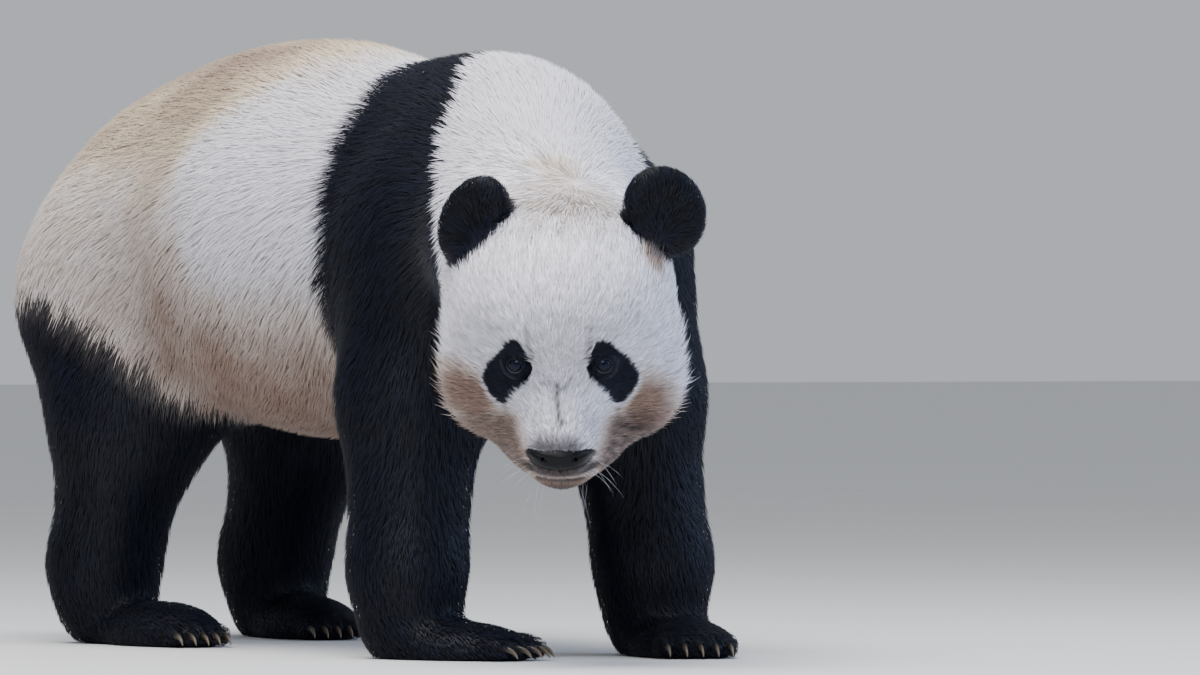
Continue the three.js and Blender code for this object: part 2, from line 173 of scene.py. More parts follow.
# For each leg: shoulder or hip, elbow or knee, ankle, and the middle of the paw.
LEGS = {
    ("fore", -1): [(-0.088, 0.1, 0.49), (-0.145, 0.095, 0.32), (-0.172, 0.066, 0.11), (-0.145, -0.01, 0.012)],
    ("fore", 1): [(0.124, 0.097, 0.494), (0.150, 0.06, 0.32), (0.152, 0.01, 0.11), (0.140, -0.07, 0.012)],
    ("hind", -1): [(-0.120, 0.80, 0.44), (-0.165, 0.72, 0.30), (-0.165, 0.79, 0.10), (-0.150, 0.67, 0.014)],
    ("hind", 1): [(0.120, 0.84, 0.44), (0.165, 0.83, 0.30), (0.172, 0.918, 0.10), (0.165, 0.83, 0.014)],
}
# For each kind of leg: its radii down the upper and the lower limb, and how softly the two are melted.
GIRTH = {"fore": (0.125, 0.092, 0.088, 0.072, 0.04), "hind": (0.150, 0.105, 0.095, 0.070, 0.05)}
# A paw's radii across, along and up, and its ankle's upper and lower radius.
PAW = {"fore": ((0.066, 0.098, 0.036), 0.068, 0.062), "hind": ((0.066, 0.122, 0.043), 0.068, 0.060)}
# Degrees that each paw is turned in.
TOE_IN = {("fore", -1): 22, ("fore", 1): 22, ("hind", -1): -8, ("hind", 1): 14}
# How far forward the toes reach, how wide their row is, and a toe's radius.
TOES = {"fore": (0.084, 0.078, 0.019), "hind": (0.108, 0.066, 0.017)}
CLAW_HEIGHT = 0.015
PARTS = ["trunk", "neck", "head", "tail", "ear-1", "ear1"]
PARTS += [f"{kind}{what}{side}" for kind, side in LEGS for what in ("leg", "paw")]
ROW = {name: i for i, name in enumerate(PARTS)}


def into_head(p):
    """Points in the head's frame: face towards -y, crown up, panda's left +x."""
    return (p - HEAD) @ HEAD_TURN


def head_point(q):
    """A point of the head's frame in the body frame."""
    return np.asarray(q, np.float32) @ HEAD_TURN.T + HEAD


def head(q):
    """Skull, forehead, cheeks, jowls, muzzle and lower jaw, with a socket round each eye."""
    s = mirrored(q)
    d = ellipsoid(s, (0, 0.020, 0.025), (0.136, 0.130, 0.115))
    d = melt(d, ellipsoid(s, (0, -0.045, 0.045), (0.100, 0.080, 0.070)), 0.040)
    d = melt(d, ellipsoid(s, (0.081, -0.012, -0.069), (0.070, 0.078, 0.083)), 0.045)
    d = melt(d, ellipsoid(s, (0.036, -0.072, -0.118), (0.038, 0.052, 0.045)), 0.040)
    d = melt(d, round_cone(s, *MUZZLE), 0.035)
    d = melt(d, round_cone(s, (0, -0.050, -0.115), (0, -0.114, -0.119), 0.042, 0.043), 0.025)
    return hollow(d, ellipsoid(s, (0.0506, -0.1202, 0.0055), (0.019, 0.014, 0.013)), 0.012)


def ear(q, side):
    """A thick cupped disc."""
    s = q * vec(side, 1, 1)
    cup = vec(*EARS[side]) + EAR_TURN @ vec(0, -0.035, 0)
    d = ellipsoid(s, EARS[side], EAR_RADII[side], EAR_TURN)
    return hollow(d, ellipsoid(s, cup, (0.031, 0.022, 0.043), EAR_TURN), 0.020)


def trunk(p):
    """Chest, barrel, rump, withers and back."""
    d = ellipsoid(p, (0, 0.17, 0.49), (0.178, 0.250, 0.225))
    d = melt(d, ellipsoid(p, (0, 0.47, 0.50), (0.260, 0.340, 0.240)), 0.10)
    d = melt(d, ellipsoid(p, (0, 0.75, 0.516), (0.220, 0.245, 0.212)), 0.10)
    d = melt(d, ellipsoid(p, (0, 0.154, 0.62), (0.100, 0.170, 0.110)), 0.08)
    return melt(d, ellipsoid(p, (0, 0.54, 0.604), (0.150, 0.272, 0.155)), 0.08)


def tail(p):
    """A short tail that hangs from the rump."""
    d = round_cone(p, (0, 0.945, 0.560), (0, 0.988, 0.500), 0.052, 0.050)
    return melt(d, round_cone(p, (0, 0.988, 0.500), (0, 0.990, 0.418), 0.050, 0.034), 0.02)


def leg(p, kind, side):
    """Upper and lower limb, melted at the elbow or knee."""
    top, middle, bottom, _ = LEGS[kind, side]
    r = GIRTH[kind]
    return melt(round_cone(p, top, middle, r[0], r[1]), round_cone(p, middle, bottom, r[2], r[3]), r[4])


def paw_turn(kind, side):
    """How a paw is turned in from straight ahead."""
    return turned(yaw=-side * TOE_IN[kind, side])


def toe_at(kind, side, i):
    """The middle of toe i, counted from the right, in the paw's own frame. They stand on a shallow arc."""
    reach, spread, _ = TOES[kind]
    across = (i / 4 - 0.5) * spread
    return (across, 6.0 * across * across - reach, CLAW_HEIGHT - LEGS[kind, side][3][2])


def paw(p, kind, side):
    """A flattened ellipsoid with a row of five toes, under a short round ankle."""
    _, _, ankle, centre = LEGS[kind, side]
    radii, upper, lower = PAW[kind]
    turn = paw_turn(kind, side)
    d = ellipsoid(p, centre, radii, turn)
    near = np.flatnonzero((d < 0.05) & (p[:, 2] < 0.10))
    q = (p[near] - vec(*centre)) @ turn
    toes = d[near]
    radius = TOES[kind][2]
    for i in range(5):
        toes = melt(toes, ellipsoid(q, toe_at(kind, side, i), (0.8 * radius, 0.026, radius)), 0.009)
    d[near] = toes
    return melt(d, round_cone(p, ankle, (ankle[0], ankle[1], 0.05), upper, lower), 0.04)


def masses(p):
    """Distances from each point to each mass in PARTS, one row for each mass."""
    q = into_head(p)
    neck = round_cone(p, (-0.028, 0.055, 0.548), (-0.145, -0.200, 0.475), 0.151, 0.132)
    rows = [trunk(p), neck, head(q), tail(p), ear(q, -1), ear(q, 1)]
    for limb in LEGS:
        rows += [leg(p, *limb), paw(p, *limb)]
    return np.stack(rows)


def joined(d):
    """The rows of masses() melted into one body that stands on z = 0."""
    whole = melt(melt(d[ROW["trunk"]], d[ROW["neck"]], 0.09), d[ROW["head"]], 0.05)
    for side in (-1, 1):
        for kind, width in (("fore", 0.07), ("hind", 0.08)):
            limb = melt(d[ROW[f"{kind}leg{side}"]], d[ROW[f"{kind}paw{side}"]], 0.03)
            whole = melt(whole, limb, width)
        whole = melt(whole, d[ROW[f"ear{side}"]], 0.012)
    return melt(whole, d[ROW["tail"]], 0.03)


def shares(d, width):
    """How much each mass counts at each point, by how near it is against a width. They add up to 1."""
    weight = np.exp(-(d - d.min(0)) / width)
    return weight / weight.sum(0)


def headness(d):
    """1 on the head, falling to 0 over the neck towards the trunk."""
    return smooth(d[ROW["trunk"]] - d[ROW["head"]], 0.02, 0.05)


# ---------------------------------------------------------------- the face

TILT = math.radians(35)
FACE_UP = vec(0, math.sin(TILT), math.cos(TILT))
FACE_OUT = vec(0, -math.cos(TILT), math.sin(TILT))
FACE_REACH = 0.24  # marks of the face hold this near the head's centre


def on_face(q):
    """Across, up and out of a point of the head, seen square to the face, which slopes back at its top."""
    return q[:, 0], q @ FACE_UP, q @ FACE_OUT


def surface_point(field, u, v, lift=0.0):
    """The point of a field's surface at (u, v) on the face, lifted out of it. It halves the way out."""
    low, high = 0.0, 0.2
    foot = np.array((u, 0, 0)) + v * FACE_UP
    for _ in range(24):
        middle = (low + high) / 2
        if field((foot + middle * FACE_OUT)[None].astype(np.float32))[0] < 0:
            low = middle
        else:
            high = middle
    return tuple(foot + (low + lift) * FACE_OUT)


def face_rod(field, a, b, ra, rb):
    """A round cone between two points that are given across, up and out of a field's surface."""
    return surface_point(field, *a), surface_point(field, *b), ra, rb


# The eye patch's outline, across and up the face: from its top, round the outer side to its foot and back.
PATCH_OUTLINE = [(0.0519, -0.0275), (0.0590, -0.0300), (0.0713, -0.0415), (0.0831, -0.0525)]
PATCH_OUTLINE += [(0.0920, -0.0670), (0.0905, -0.0780), (0.0843, -0.0895), (0.0746, -0.0992)]
PATCH_OUTLINE += [(0.0645, -0.1030), (0.0561, -0.0960), (0.0454, -0.0825), (0.0345, -0.0715)]
PATCH_OUTLINE += [(0.0313, -0.0600), (0.0325, -0.0490), (0.0394, -0.0390), (0.0450, -0.0300)]


def patch_distance(q):
    """How far a point of the head is outside its eye patch: the distance to the nearest side of the
    outline, negative where a line across from the point crosses the outline an odd number of times."""
    u, v, _ = on_face(q)
    x = np.abs(u)
    best = np.full(len(q), 1.0, np.float32)
    odd = np.zeros(len(q), bool)
    for a, b in zip(PATCH_OUTLINE, PATCH_OUTLINE[1:] + PATCH_OUTLINE[:1]):
        way = (b[0] - a[0], b[1] - a[1])
        t = np.clip(((x - a[0]) * way[0] + (v - a[1]) * way[1]) / (way[0] ** 2 + way[1] ** 2), 0, 1)
        best = np.minimum(best, np.hypot(x - a[0] - way[0] * t, v - a[1] - way[1] * t))
        if way[1]:
            odd ^= ((a[1] > v) != (b[1] > v)) & (x < a[0] + (v - a[1]) * way[0] / way[1])
    return np.where(odd, -best, best) + smooth(q[:, 1], -0.03, 0.03)


def stroke(q, points, width):
    """1 on a line through points given across and up the face, falling to 0 at that width from it."""
    u, v, w = on_face(q)
    here = np.stack([u, v], 1)
    best = np.full(len(q), 1.0, np.float32)
    for a, b in zip(points, points[1:]):
        a, b = np.array(a), np.array(b)
        t = np.clip(((here - a) @ (b - a)) / ((b - a) @ (b - a)), 0, 1)[:, None]
        best = np.minimum(best, np.linalg.norm(here - (a + (b - a) * t), axis=1))
    return within(best, 0.0, width) * (w > 0)


# Lines of painted shade in the face's creases and partings, each as its strength, its points across and up
# the face, and its width.
CREASES = [
    (0.95, [(-0.002, -0.080), (-0.0035, -0.098), (-0.001, -0.112), (0.001, -0.124)], 0.0056),
    (1.00, [(0.001, -0.121), (0.0013, -0.127)], 0.0085),
    (0.85, [(0.001, -0.088), (0.008, -0.0815), (0.0135, -0.0735)], 0.0042),
    (0.40, [(-0.004, -0.082), (-0.020, -0.078)], 0.0044),
]
# The same for lines that both sides of the face have: brows, and the crease at the foot of the eye patch.
PAIRED = [
    (0.95, [(0.0375, -0.0355), (0.0322, -0.041), (0.0312, -0.049)], 0.0034),
    (0.48, [(0.036, -0.034), (0.036, -0.016)], 0.0070),
    (0.60, [(0.0640, -0.103), (0.0655, -0.118)], 0.0060),
]
CREASES += [(k, [(side * u, v) for u, v in line], width) for side in (-1, 1) for k, line, width in PAIRED]
OVER_NOSE = [(-0.022, -0.153), (0.015, -0.154)]
MOUTH_LINE = [(-0.026, -0.1900), (-0.012, -0.1922), (0.012, -0.1922), (0.026, -0.1900)]


def shade_and_smudges(q):
    """Where hair is darkened on the face: painted shade in the creases, a grey patch over the nose leather,
    the furrow and lips below it, where the mouth's line is partly painted shade in its groove, painted shadow
    on the chin and on the cheeks beside the muzzle, and the muzzle's left side. Returns 0 to 1."""
    u, v, _ = on_face(q)
    # painted shade along the creases and partings
    line = np.max([k * stroke(q, points, width) for k, points, width in CREASES], axis=0)
    line = line * (0.78 + 0.45 * waves(q, 0.0032, 21)).clip(0, 1)
    front = q[:, 1] < -0.05
    # painted shade on the cheeks beside the muzzle, stronger on the left
    cheek = smooth(beside_muzzle(u, v), 0.002, 0.020) * within(np.abs(u), 0.100, 0.130)
    cheek = cheek * smooth(-v, 0.100, 0.128)
    cheek = (0.50 + 0.32 * smooth(u, 0.0, 0.02)) * cheek * (0.8 + 0.4 * waves(q, 0.012, 24))
    dark = [
        0.86 * stroke(q, OVER_NOSE, 0.0250),
        1.05 * (within(pad_outline(u, v), 0.0060, 0.0110) * smooth(-v, 0.164, 0.175) * front),
        # the mouth's line: dark lip skin, with painted shade in its groove
        stroke(q, MOUTH_LINE, 0.0042),
        # painted shadow on the chin, under the head
        0.74 * smooth(-v, 0.190, 0.201) * front,
        cheek * (q[:, 1] < 0.0),
        0.20 * smooth(u, 0.010, 0.042) * smooth(-v, 0.100, 0.135) * front,
    ]
    dark = np.max(dark, axis=0) * (0.96 + 0.10 * waves(q, 0.005, 22))
    return np.maximum(line, dark).clip(0, 1) * (np.linalg.norm(q, axis=1) < FACE_REACH)


def streaks(q):
    """Locks of the face's hair, from -1 to 1: noise that is long along the lines away from the nose, and
    short across them."""
    out = q - NOSE_TIP
    far = np.linalg.norm(out, axis=1)
    out = out / np.maximum(far, 0.001)[:, None]
    fine = waves(out * (1 + 0.8 * far)[:, None], 0.022, 26, 16)
    coarse = waves(out * (1 + 3.0 * far)[:, None], 0.055, 27, 16)
    return 1.6 * (fine + (coarse - fine) * within(far, 0.045, 0.095))


def beside_muzzle(u, v):
    """How far a point of the face is outside the muzzle, across from a line that runs down its side."""
    side = line_at(v, [(-0.175, 0.046), (-0.120, 0.062), (-0.100, 0.078)])
    return np.abs(u) - side + np.where(u < 0, 0.017, 0.013)


def face_masks(q):
    """Muzzle, face and cheek: each 0 to 1 over the head, from distances in the head's frame."""
    s = mirrored(q)
    muzzle = within(away(s, 0, -0.160, -0.090), 0.045, 0.110)
    front = within(s[:, 1] + 0.25 * s[:, 2], -0.06, 0.03)
    return muzzle, front, within(away(s, 0.110, -0.010, -0.075), 0.030, 0.085)


# ---------------------------------------------------------------- nose, mouth and eye openings


def leather_top(across):
    """How high up the face the visible leather reaches: a line that sags in the middle."""
    return -0.1600 + 3.2 * across * across


def pad_outline(across, up):
    """How far a point of the face is outside the leather's lower edge, half of a rounded oblong."""
    u = np.abs(across) / 0.0405
    v = np.minimum(up + 0.1545, 0) / 0.0258
    return ((u**2.2 + np.abs(v) ** 2.2) ** (1 / 2.2) - 1) * 0.026


def leather_surface(s):
    """Distance to the leather's outer face: the end of the muzzle, thickened from nothing at the top, with
    a roll along its upper half."""
    across, up, _ = on_face(s)
    below = leather_top(across) - up
    thick = -0.0022 + 0.0046 * smooth(below, -0.003, 0.007)
    thick = thick + 0.0007 * np.exp(-(((below - 0.0055) / 0.005) ** 2))
    return round_cone(s, *MUZZLE) - thick - 0.0012 * smooth(below, 0.010, 0.018)


# Each nostril is a comma: a slit that curves down and in from its outer end to a round hole by the middle.
NOSTRILS = [
    face_rod(leather_surface, (0.0320, -0.1618, 0.0004), (0.0250, -0.1650, 0.0), 0.0010, 0.0018),
    face_rod(leather_surface, (0.0250, -0.1650, 0.0), (0.0160, -0.1692, -0.0003), 0.0018, 0.0020),
    face_rod(leather_surface, (0.0190, -0.1682, 0.0), (0.0205, -0.1678, -0.0080), 0.0017, 0.0014),
]
FURROW = face_rod(leather_surface, (0.0, -0.1705, 0.0006), (0.0, -0.1840, 0.0004), 0.0007, 0.0016)
# The cleft under the nose and the line of the mouth out to its corner, as rods sunk in the muzzle's skin.
LIPS = [(0.0, -0.1915), (0.012, -0.1919), (0.023, -0.1902), (0.036, -0.1830), (0.047, -0.1715)]
LIPS += [(0.054, -0.158)]
MOUTH = [face_rod(head, (0, -0.1795, -0.0042), (0, -0.1905, -0.0042), 0.0013, 0.0013)]
MOUTH += [face_rod(head, (*a, -0.0045), (*b, -0.0045), 0.0021, 0.0021) for a, b in zip(LIPS, LIPS[1:])]


def nose_leather(q):
    """The nose leather: a shell on the end of the muzzle inside a rounded outline, with two nostrils like
    commas and a furrow down the middle."""
    s = mirrored(q)
    across, up, _ = on_face(s)
    outline = -melt(-pad_outline(across, up), leather_top(across) + 0.0035 - up, 0.0015)
    d = -melt(-outline, -leather_surface(s), 0.005)
    d = np.maximum(d, -(round_cone(s, *MUZZLE) + 0.012))
    d = hollow(d, rods(s, NOSTRILS), 0.0016)
    return hollow(d, round_cone(s, *FURROW), 0.0014)


def eye_frame():
    """Axes of the eye opening in the mirrored head frame: across (outwards), up and out of the face."""
    out = unit(vec(0.22, -0.90, 0.36))
    across = unit(np.cross(out, vec(0.10, 0, -1.0)))
    across = across * np.sign(across[0])
    up = np.cross(across, out)
    return np.stack([across, up * np.sign(up[2]), out], 1).astype(np.float32)


EYE_AXES = eye_frame()
LID_WIDTH, LID_HEIGHT = 0.0087, 0.0073  # half the eye opening, across and up


def in_eye(q):
    """Points across, up and out from the middle of the eye opening."""
    return (mirrored(q) - EYE) @ EYE_AXES


def lid_distance(q):
    """How far a point is outside the almond of the lids, seen along the eye's axis: a lens of two arcs."""
    w = in_eye(q)
    radius = (LID_WIDTH * LID_WIDTH + LID_HEIGHT * LID_HEIGHT) / (2 * LID_HEIGHT)
    lower = np.hypot(w[:, 0], w[:, 1] + radius - LID_HEIGHT) - radius
    upper = np.hypot(w[:, 0], w[:, 1] - radius + LID_HEIGHT) - radius
    return np.maximum(lower, upper) + 0.05 * (w[:, 2] < 0)


# ---------------------------------------------------------------- coat maps and the skin's field

# For each mass: depth of the coat, length of a tuft and its width, in millimetres.
COAT = {
    "trunk": (15, 40, 1.35),
    "neck": (14, 36, 1.25),
    "head": (10, 24, 0.95),
    "tail": (18, 44, 1.6),
    "ear": (7, 19, 0.8),
    "foreleg": (12, 30, 1.4),
    "hindleg": (12, 32, 1.4),
    "paw": (6, 16, 1.25),
}
COAT_ROWS = [[v / 1000 for v in COAT["paw" if "paw" in name else name.rstrip("-1")]] for name in PARTS]
COAT_COLUMNS = np.array(COAT_ROWS, np.float32).T[:, :, None]


def head_coat(q):
    """Depth, length and width of the coat on the head, in metres: shorter on the face and longer on the
    cheeks, and drawn to sizes of their own on the muzzle, the eye patches, the chin and the upper lip."""
    muzzle, front, cheek = face_masks(q)
    across, up, _ = on_face(q)
    under = within(pad_outline(across, up), 0.006, 0.014) * smooth(-up, 0.160, 0.172) * (q[:, 1] < -0.05)
    zones = [
        (muzzle, (0.0042, 0.0085, 0.00062)),
        (within(patch_distance(q), -0.004, 0.006), (0.0045, 0.0090, 0.00068)),
        (smooth(-up, 0.186, 0.200) * (q[:, 1] < -0.06), (0.0045, 0.013, 0.0007)),
        (under, (0.0032, 0.0060, 0.0006)),
    ]
    plain = ((0.010, -0.0035, 0.010), (0.024, -0.010, 0.014), (0.00095, -0.00022, 0.0001))
    maps = [base + at_front * front + at_cheek * cheek for base, at_front, at_cheek in plain]
    for zone, sizes in zones:
        maps = [value + (size - value) * zone for value, size in zip(maps, sizes)]
    return maps


def coat_maps(p, d):
    """Depth, tuft length and tuft width at each point, in metres: COAT blended by how near each mass is,
    with the head's own map on the head."""
    weight = shares(d, 0.014)
    row = ROW["head"]
    both = zip(COAT_COLUMNS, head_coat(into_head(p)))
    return [(weight * column).sum(0) + weight[row] * (own - column[row]) for column, own in both]


def skin_field(p):
    """The body's field with every mass drawn in by the depth of its coat. Then the lids' roundness is
    melted on, and the mouth and the furrow under the nose are cut in."""
    d = masses(p)
    q = into_head(p)
    inset = np.broadcast_to(COAT_COLUMNS[0], d.shape).copy()
    inset[ROW["head"]] = head_coat(q)[0]
    f = joined(d + inset)
    near = np.flatnonzero((np.abs(f) < 0.05) & (q[:, 1] < -0.05) & (np.abs(q[:, 0]) < 0.09))
    if len(near):
        s = mirrored(q[near])
        g = melt(f[near], np.linalg.norm(s - EYE, axis=1) - (EYE_RADIUS + 0.0017), 0.005)
        for rod in MOUTH:
            g = hollow(g, round_cone(s, *rod), 0.0025)
        f[near] = g
    return f


def in_chunks(field, p, size=60000):
    """The field at many points, worked out in portions that fit the processor's cache."""
    p = np.asarray(p, np.float32)
    return np.concatenate([field(p[i : i + size]) for i in range(0, len(p), size)], axis=-1)


def slope(field, p, step=0.0006):
    """Value and gradient of a field, by central differences along four tetrahedral directions."""
    total = 0
    value = 0
    for way in (vec(1, 1, 1), vec(1, -1, -1), vec(-1, 1, -1), vec(-1, -1, 1)):
        v = in_chunks(field, p + way * step)
        total = total + v[:, None] * way
        value = value + v / 4
    return value, total / (4 * step)


def settled(field, p, rounds=3, most=0.01):
    """Points moved down the slope of the field onto its zero level by Newton steps."""
    p = np.array(p, np.float32)
    for _ in range(rounds):
        value, gradient = slope(field, p)
        size = np.maximum((gradient * gradient).sum(1), 0.05)
        p -= np.clip(value / size, -most, most)[:, None] * gradient
    return p


# ---------------------------------------------------------------- meshing


def netted(field, low, high, cell, block=4):
    """A closed mesh of field = 0 by surface nets. Grid values are worked out only in blocks that the
    surface may cross. Each cell that it crosses gets one vertex, the mean of the crossings of its edges,
    and each grid edge that it crosses gets one quad, as two triangles."""
    low = vec(*low)
    n = np.ceil((np.array(high) - low) / (cell * block)).astype(int)
    middles = np.stack(np.meshgrid(*[np.arange(k) for k in n], indexing="ij"), -1).reshape(-1, 3)
    coarse = in_chunks(field, low + (middles + 0.5 - 0.5 / block) * (cell * block))
    near = np.abs(coarse) < cell * block * 1.25
    values = np.where(coarse < 0, -1.0, 1.0).astype(np.float32).reshape(n)
    for axis in range(3):
        values = np.repeat(values, block, axis)
    inner = np.stack(np.meshgrid(*[np.arange(block)] * 3, indexing="ij"), -1).reshape(-1, 3)
    index = (middles[near][:, None] * block + inner).reshape(-1, 3)
    values[tuple(index.T)] = in_chunks(field, low + index * cell)
    for axis in range(3):
        ends = [slice(None)] * 3
        ends[axis] = [0, -1]
        values[tuple(ends)] = np.maximum(values[tuple(ends)], cell)
    inside = values < 0
    size = np.array(values.shape)
    corners = [(a, b, c) for a in (0, 1) for b in (0, 1) for c in (0, 1)]
    views = [inside[a : size[0] - 1 + a, b : size[1] - 1 + b, c : size[2] - 1 + c] for a, b, c in corners]
    count = sum(v.astype(np.int8) for v in views)
    cells = np.argwhere((count > 0) & (count < 8))
    number = np.full(size, -1, np.int64)
    number[tuple(cells.T)] = np.arange(len(cells))
    total = np.zeros((len(cells), 3), np.float32)
    cuts = np.zeros(len(cells), np.float32)
    for a in corners:
        for axis in range(3):
            if a[axis]:
                continue
            at = cells + np.array(a)
            to = at.copy()
            to[:, axis] += 1
            va = values[tuple(at.T)]
            vb = values[tuple(to.T)]
            cut = (va < 0) != (vb < 0)
            t = np.where(cut, va / np.where(cut, va - vb, 1), 0)
            spot = vec(*a)[None] + t[:, None] * np.eye(3, dtype=np.float32)[axis]
            total += np.where(cut[:, None], spot, 0)
            cuts += cut
    points = low + (cells + total / cuts[:, None]) * cell
    quads = []
    for axis in range(3):
        u, v = (np.eye(3, dtype=int)[(axis + k) % 3] for k in (1, 2))
        change = inside != np.roll(inside, -1, axis)
        change[tuple(slice(None) if k != axis else -1 for k in range(3))] = False
        at = np.argwhere(change)
        ring = np.stack([number[tuple((at - w).T)] for w in (u + v, v, 0 * u, u)], 1)
        flip = ~inside[tuple(at.T)]
        ring[flip] = ring[flip][:, ::-1]
        quads.append(ring)
    quads = np.concatenate(quads)
    return points.astype(np.float32), np.concatenate([quads[:, [0, 1, 2]], quads[:, [0, 2, 3]]])


# The triangles that replace one, by how many of its edges are split: corners are 0 to 2, edges' middles 3
# to 5.
SPLITS = {0: [(0, 1, 2)], 1: [(0, 3, 2), (3, 1, 2)], 2: [(3, 1, 4), (0, 3, 4), (0, 4, 2)]}
SPLITS[3] = [(3, 4, 5), (0, 3, 5), (1, 4, 3), (2, 5, 4)]


def refined(points, triangles, size_at, field, rounds):
    """Splits every edge longer than size_at its middle, round by round, and settles the new points on the
    field. A triangle becomes two, three or four, by how many of its edges were split, so the mesh stays
    closed."""
    for _ in range(rounds):
        n = len(points)
        ends = np.sort(np.stack([triangles, np.roll(triangles, -1, 1)], 2), 2).reshape(-1, 2)
        key, inverse = np.unique(ends[:, 0] * n + ends[:, 1], return_inverse=True)
        a = key // n
        b = key % n
        middle = (points[a] + points[b]) / 2
        long = np.linalg.norm(points[a] - points[b], axis=1) > size_at(middle)
        if not long.any():
            break
        new = np.cumsum(long) - 1 + n
        points = np.concatenate([points, settled(field, middle[long], rounds=2)])
        split = long[inverse].reshape(-1, 3)
        mid = new[inverse].reshape(-1, 3)
        count = split.sum(1)
        turn = np.where(count == 1, split.argmax(1), np.where(count == 2, ((~split).argmax(1) + 1) % 3, 0))
        order = (np.arange(3)[None] + turn[:, None]) % 3
        spots = np.concatenate([np.take_along_axis(each, order, 1) for each in (triangles, mid)], 1)
        made = [spots[count == k][:, face] for k, faces in SPLITS.items() for face in faces]
        triangles = np.concatenate(made)
    return points, triangles


def vertex_normals(points, triangles):
    """Area-weighted normals of a mesh's points."""
    a, b, c = (points[triangles[:, k]] for k in range(3))
    face = np.cross(b - a, c - a)
    total = np.zeros_like(points)
    for k in range(3):
        for axis in range(3):
            total[:, axis] += np.bincount(triangles[:, k], face[:, axis], len(points))
    return unit(total)


def copied(faces, each, count):
    """The triangles of many copies of a small mesh that has a given number of points."""
    return (np.arange(count)[:, None, None] * each + np.array(faces)[None]).reshape(-1, 3)


def ring_faces(one, two, first, last):
    """The triangles of a tube of rings: both halves of its quads, and a fan at each end."""
    return np.concatenate([np.stack(corners, -1).reshape(-1, 3) for corners in (one, two, first, last)])


def find_shift():
    """What moves the body frame into the row frame: the eyeballs' centres in the CAD less those of the
    field."""
    moves = []
    for side, node in ((-1, "eye_right"), (1, "eye_left")):
        low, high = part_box(node)
        moves.append(np.array((low + high) / 2) - head_point(np.array(EYE_BALL) * (side, 1, 1)))
    return np.mean(moves, axis=0).astype(np.float32)


SHIFT = find_shift()


def add_mesh(name, look, points, triangles, attributes, normals=None):
    """A smooth-shaded mesh object in the row frame, with point attributes, that rides on the root body."""
    mesh = bpy.data.meshes.new(name)
    mesh.vertices.add(len(points))
    mesh.vertices.foreach_set("co", np.ascontiguousarray(points + SHIFT, np.float32).ravel())
    mesh.loops.add(triangles.size)
    mesh.loops.foreach_set("vertex_index", np.ascontiguousarray(triangles, np.int32).ravel())
    mesh.polygons.add(len(triangles))
    mesh.polygons.foreach_set("loop_start", np.arange(0, triangles.size, 3, dtype=np.int32))
    mesh.update(calc_edges=True)
    mesh.polygons.foreach_set("use_smooth", np.ones(len(triangles), bool))
    for key, values in attributes.items():
        mesh.attributes.new(key, "FLOAT", "POINT").data.foreach_set("value", values.astype(np.float32))
    if normals is not None:
        mesh.normals_split_custom_set_from_vertices(normals.astype(np.float32))
    mesh.materials.append(MATERIALS[look])
    obj = bpy.data.objects.new(name, mesh)
    bpy.context.scene.collection.objects.link(obj)
    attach(obj, "root")
    return obj


# ---------------------------------------------------------------- markings

# The shoulder band's rear and front edges, as how far back they lie at each height. The front edge runs up
# the neck, forward on the flank and back to the withers on top. Then the top of the hind legs' black, as
# its height at each place along the body.
BAND_REAR = [(0.30, 0.255), (0.39, 0.236), (0.53, 0.229), (0.65, 0.255), (0.69, 0.268), (0.72, 0.285)]
BAND_REAR += [(0.75, 0.352)]
BAND_FRONT = [(0.35, -0.27), (0.463, -0.157), (0.515, -0.106), (0.58, -0.040), (0.626, 0.010), (0.665, 0.034)]
BAND_FRONT += [(0.699, 0.059), (0.743, 0.145)]
LEG_TOP = [(0.57, 0.20), (0.588, 0.280), (0.616, 0.336), (0.655, 0.383), (0.71, 0.412), (0.80, 0.44)]
LEG_TOP += [(0.95, 0.43), (1.1, 0.37)]
HEAD_SKIN = 0.03  # marks of the face hold on points this near the head's mass


def black_depth(p, d, q):
    """How far each point is inside the black: the legs, a band over the shoulders that narrows to the
    withers, the ears and the eye patches. The edge is ragged, least of all on the head."""
    _, y, z = p.T
    rear = line_at(z, BAND_REAR) - y
    band = np.where(z < 0.30, np.minimum(rear, 0.05), np.minimum(rear, y - line_at(z, BAND_FRONT)))
    black = np.maximum(band, np.minimum(line_at(y, LEG_TOP) - z, y - 0.50))
    in_head = smooth(d[ROW["neck"]] - d[ROW["head"]], -0.01, 0.02)
    black = np.where(d[ROW["head"]] < d[ROW["trunk"]] - 0.004, -0.05 * in_head + black * (1 - in_head), black)
    paws = np.min([d[row] for name, row in ROW.items() if "paw" in name], axis=0)
    black = np.maximum(black, 0.03 - paws)
    for side in (-1, 1):
        s = q * vec(side, 1, 1)
        foot = within((s - vec(*EARS[side])) @ EAR_TURN[:, 2], -0.028, -0.006)
        disc = ellipsoid(s, EARS[side], (EAR_RADII[side][0], 0.045, EAR_RADII[side][2]), EAR_TURN)
        black = np.maximum(black, 0.0025 * foot + 0.0035 - disc)
    black = np.maximum(black, np.where(d[ROW["head"]] < HEAD_SKIN, -patch_distance(q), -0.05))
    return black + (1 - 0.80 * headness(d)) * (0.0050 * waves(p, 0.05, 3) + 0.0035 * waves(p, 0.018, 4))


